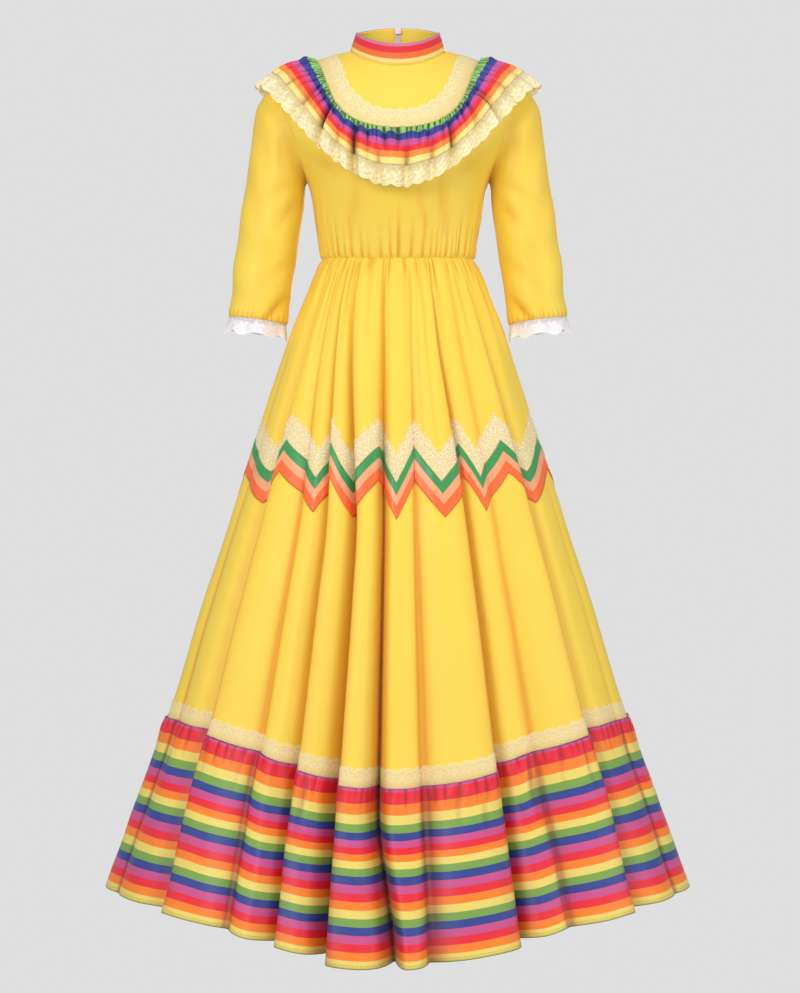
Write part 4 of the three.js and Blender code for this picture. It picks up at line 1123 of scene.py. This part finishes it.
def skirt_point(turn, at):
    """at is 0 at the waist and 1 at the flounce's seam."""
    points = skirt_base(turn, at)
    place = share_round(turn)
    lift = skirt_gathers(place, at / 0.16) * (0.6 + 3.0 * smooth(at / 0.02)) * (1 - 0.6 * smooth(at / 0.12))
    lift = lift + 2.6 * skirt_ripples(place, at / 0.42) * smooth(at / 0.05) - 0.5 * (1 - smooth(at / 0.01))
    middle = 0.35 + 0.65 * np.exp(-((points[..., 0] / (70 + 130 * at)) ** 2))
    lift = lift + 2.8 * middle * long_ripples(place, at / 1.15) * smooth(at / 0.2) * (1 - 0.5 * smooth(at))
    return lifted(points, lift + slack(points, 31, 130, 1.8) * smooth(at / 0.3) - 2.2 * smooth(-at / TUCK))


# %% Skirt panels
SKIRT_LENGTH = 740.0
ZIP_FOOT = 0.16  # how far down the opening goes, as a share of the skirt's length
# The scales at which shade is painted into the skirt's hollows.
SKIRT_FOLDS = [(3, 1.6), (9, 9), (26, 30)]
SKIRT_PANELS = [  # name, first and last fold, mm between columns, and edges at the zip
    ("skirt_front", 0, SIDE, 3.8, ()),
    ("skirt_back_left", SIDE, BACK, 5.0, (1,)),
    ("skirt_back_right", BACK, FOLD_COUNT, 5.0, (-1,)),
]
skirt_panels = []
for name, start, end, spacing, edges in SKIRT_PANELS:
    turn, at = grid_of(even_turns(start, end, spacing), [-TUCK, *(np.linspace(0.0005, 1, 92) ** 1.35)])
    points = skirt_point(turn, at)
    slit(points[: np.count_nonzero(at[:, 0] < ZIP_FOOT)], edges)
    # tight is painted shade: in the gaps of the waist gathers and ripples, and along the foot of deep folds.
    tight = 0.6 * painted_gap_shade(skirt_gathers, share_round(turn), at / 0.05, 0.4)
    tight = tight + 0.3 * painted_gap_shade(long_ripples, share_round(turn), at / 0.24, 0.2)
    tight = tight + 0.9 * fold_shade(turn, at)
    flat = cloth_map(turn, at * SKIRT_LENGTH)
    skirt_panels.append(hang(name, points, flat, yellow_cloth, folds=SKIRT_FOLDS, shade=tight))

# %% [markdown]
# ## Flounce
# The flounce is a straight strip of striped cloth, gathered a little onto the foot of the skirt, outside
# it. Because the strip is straight, its stripes run parallel to the hem. The flat map therefore measures
# the stripes up from the hem, where a line of stitches holds the turned edge.

# %% Flounce panels
FLOUNCE_LENGTH = 259.0
FLOUNCE_LIE = 2.2  # how far outside the skirt it lies
# The scales at which shade is painted into the flounce's hollows.
FLOUNCE_FOLDS = [(3, 1.3), (10, 10), (26, 30)]
FLOUNCE_PANELS = [("flounce_front", 0, SIDE, 3.4), ("flounce_back", SIDE, FOLD_COUNT, 4.6)]
flounce_gathers = gathers(15, 176, 0.9)
flounce_pleats = gathers(16, 70, 1.2)


def flounce_point(turn, at):
    """at is 1 at the seam and 2 at the hem."""
    points = skirt_base(turn, at)
    below = at - 1
    lift = 3.4 * flounce_gathers(share_round(turn), below / 0.22)
    lift = lift + 3.4 * flounce_pleats(share_round(turn), below / 0.8) * smooth(below / 0.04)
    lift = lift + FLOUNCE_LIE + slack(points, 31, 130, 1.8)
    return lifted(points, lift + slack(points, 32, 60, 1.6) * smooth(below / 0.2))


flounce_panels = []
for name, start, end, spacing in FLOUNCE_PANELS:
    turn, at = grid_of(even_turns(start, end, spacing), 1 + np.linspace(0, 1, 56) ** 1.3)
    points = flounce_point(turn, at)
    # tight is painted shade: in the gaps of the flounce's gathers and along the foot of deep folds.
    tight = 0.9 * painted_gap_shade(flounce_gathers, share_round(turn), (at - 1) / 0.1, 0.5)
    tight = tight + 0.8 * fold_shade(turn, at)
    flat = cloth_map(turn, (2 - at) * FLOUNCE_LENGTH)
    flounce_panels.append(hang(name, points, flat, flounce_cloth, folds=FLOUNCE_FOLDS, shade=tight))

# %% [markdown]
# ## Trims of the skirt
# A zigzag of lace and ribbon runs round the skirt above the knee, and a straight lace covers the seam of
# the flounce. A trim is sewn flat onto the cloth, so it takes the skirt's own points, moved out by a hair:
# each fold then carries it without a gap. The tips of the zigzag come from a table, in folds.

# %% Zigzag
ZIGZAG = [
    (0.4, 1.77), (2.3, 3.57), (4.15, 4.78), (5.85, 6.42), (7.0, 7.49), (8.2, 8.75), (9.46, 10.29),
    (11.3, 12.3), (13.3, 14.2), (15.0, 15.8), (16.5, 17.2), (17.9, 18.55), (19.27, 20.05), (20.8, 21.6),
    (22.5, 23.45),
]
ZIGZAG_HEIGHT = 52.0
ZIGZAG_MIDDLE = 0.428  # as a share of the skirt's length
tips = np.ravel(ZIGZAG)
tip_turns = np.concatenate([[tips[-1] - FOLD_COUNT], tips, [tips[0] + FOLD_COUNT]])
tip_heights = np.where(np.arange(len(tip_turns)) % 2, -0.5, 0.5) * ZIGZAG_HEIGHT


def skirt_trim(name, material, turns, drop, place, thick, lie):
    """A trim on the skirt. place(turn, drop) is how far below the waist each of its points is, in mm."""
    turn, drop = grid_of(turns, drop)
    down = place(turn, drop)
    points = raised(skirt_point(turn, down / SKIRT_LENGTH), lie, ring=True)
    return hang(name, points, cloth_map(turn, drop - drop.min()), material, thick=thick, ring=True)


def below_zigzag(turn, drop):
    return ZIGZAG_MIDDLE * SKIRT_LENGTH + np.interp(turn, tip_turns, tip_heights) + drop


TRIM_SPACING = 3.0
zigzag_turns = np.unique(np.concatenate([even_turns(0, FOLD_COUNT, TRIM_SPACING), tips]))
zigzag_band = skirt_trim(
    "zigzag_band", zigzag_ribbon, zigzag_turns, np.linspace(0, ZIGZAG_RIBBON, 13), below_zigzag, 0.6, 1.3
)
zigzag_lace = skirt_trim(
    "zigzag_lace_band", zigzag_lace_cloth, zigzag_turns, np.linspace(-ZIGZAG_LACE, 1, 9), below_zigzag, 0, 1.0
)

# %% Lace above the flounce
skirt_lace = skirt_trim(
    "skirt_lace_band", skirt_lace_cloth, even_turns(0, FOLD_COUNT, TRIM_SPACING),
    np.linspace(SKIRT_LENGTH - SKIRT_LACE, SKIRT_LENGTH + 1, 9), lambda turn, drop: drop, 0, 1.2,
)

# %% [markdown]
# ## Zip
# The zip runs down the centre back from the collar. Its tape lies behind the opening, and the slider waits
# at the top with its pull tab hanging. Tape, slider and tab keep their solid shapes and only get a finish:
# a woven tape, and lacquer with faint scuffs for the slider and its tab.

# %% Zip finish
def solid_finish(name):
    """A finish that reads a solid's own place: the material, its bench, the place and the shader's inputs."""
    material = bpy.data.materials.new(name)
    material.use_nodes = True
    bench = Bench(material.node_tree)
    spot = bench.node("TexCoord", {}).outputs["Object"]
    return material, bench, spot, bench.tree.nodes["Principled BSDF"].inputs


tape, bench, spot, shader = solid_finish("zip_tape")
woven = bench.use(weave, Cloth=spot, Threads=1400.0)
bench.wire(bench.blend(woven["Tone"], linear(236, 216, 236), linear(214, 196, 214)), shader["Base Color"])
bump = bench.node("Bump", {"Height": woven["Relief"], "Strength": 0.5, "Distance": 0.00005})
bench.wire(bump.outputs["Normal"], shader["Normal"])
lacquer, bench, spot, shader = solid_finish("zip_lacquer")
scuffs = bench.noise(spot, 900.0, 3.0)
bench.wire(bench.blend(scuffs, linear(240, 222, 240), linear(222, 204, 222)), shader["Base Color"])
bench.wire(bench.scaled(scuffs, 0.2, 0.22), shader["Roughness"])
ZIP = {
    "zip_tape": (tape, "zip_tape"),
    "zip_slider": (lacquer, "zip_plastic"),
    "zip_pull": (lacquer, "zip_plastic"),
}
for node, (finish, slot) in ZIP.items():
    solid_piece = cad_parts[node]
    solid_piece.data.materials.clear()
    solid_piece.data.materials.append(finish)

# %% [markdown]
# ## What stands for what
# Every piece of cloth rides on the body of the dress, and the solid wall it stands for is hidden.

# %% Riding
skirt_front, skirt_back_left, skirt_back_right = skirt_panels
SEWN = [
    (collar, ["collar"], "yellow_cloth", "folded", [yoke]),
    (collar_band, ["collar_stripe"], "stripe_cloth", "laid", [collar]),
    (yoke, ["yoke_front", "yoke_back_left", "yoke_back_right"], "yellow_cloth", "hung", []),
    (yoke_lace, ["yoke_lace"], "cream_lace", "laid", [yoke]),
    (bodice_front, ["bodice_front"], "yellow_cloth", "gathered", [yoke]),
    (bodice_back_left, ["bodice_back_left"], "yellow_cloth", "gathered", [yoke]),
    (bodice_back_right, ["bodice_back_right"], "yellow_cloth", "gathered", [yoke]),
    (sleeves[0], ["sleeve_left"], "yellow_cloth", "gathered", [yoke, bodice_front, bodice_back_left]),
    (sleeves[1], ["sleeve_right"], "yellow_cloth", "gathered", [yoke, bodice_front, bodice_back_right]),
    (cuff_laces[0], ["cuff_lace_left"], "white_lace", "gathered", [sleeves[0]]),
    (cuff_laces[1], ["cuff_lace_right"], "white_lace", "gathered", [sleeves[1]]),
    (ruffle, ["ruffle"], "stripe_cloth", "gathered", [yoke]),
    (ruffle_lace, ["ruffle_lace"], "cream_lace", "gathered", [ruffle]),
    (skirt_front, ["skirt_front"], "yellow_cloth", "gathered", [bodice_front]),
    (skirt_back_left, ["skirt_back_left"], "yellow_cloth", "gathered", [bodice_back_left]),
    (skirt_back_right, ["skirt_back_right"], "yellow_cloth", "gathered", [bodice_back_right]),
    (flounce_panels[0], ["flounce_front"], "stripe_cloth", "gathered", [skirt_front]),
    (flounce_panels[1], ["flounce_back"], "stripe_cloth", "gathered", [skirt_back_left, skirt_back_right]),
    (zigzag_lace, ["zigzag_lace"], "cream_lace", "laid", skirt_panels),
    (zigzag_band, ["zigzag_ribbon"], "zigzag_ribbon", "laid", skirt_panels),
    (skirt_lace, ["skirt_lace"], "cream_lace", "laid", skirt_panels),
]
triangles = 0
for piece, nodes, slot, held, rests_on in SEWN:
    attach(piece, "dress")
    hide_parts(*nodes)
    corners = np.empty(2 * len(piece.data.loops))
    piece.data.uv_layers["Cloth"].data.foreach_get("uv", corners)
    layers = 2 if piece.modifiers else 1
    triangles += 2 * layers * len(piece.data.polygons)
print("triangles, without the cloth's cut edges:", triangles)
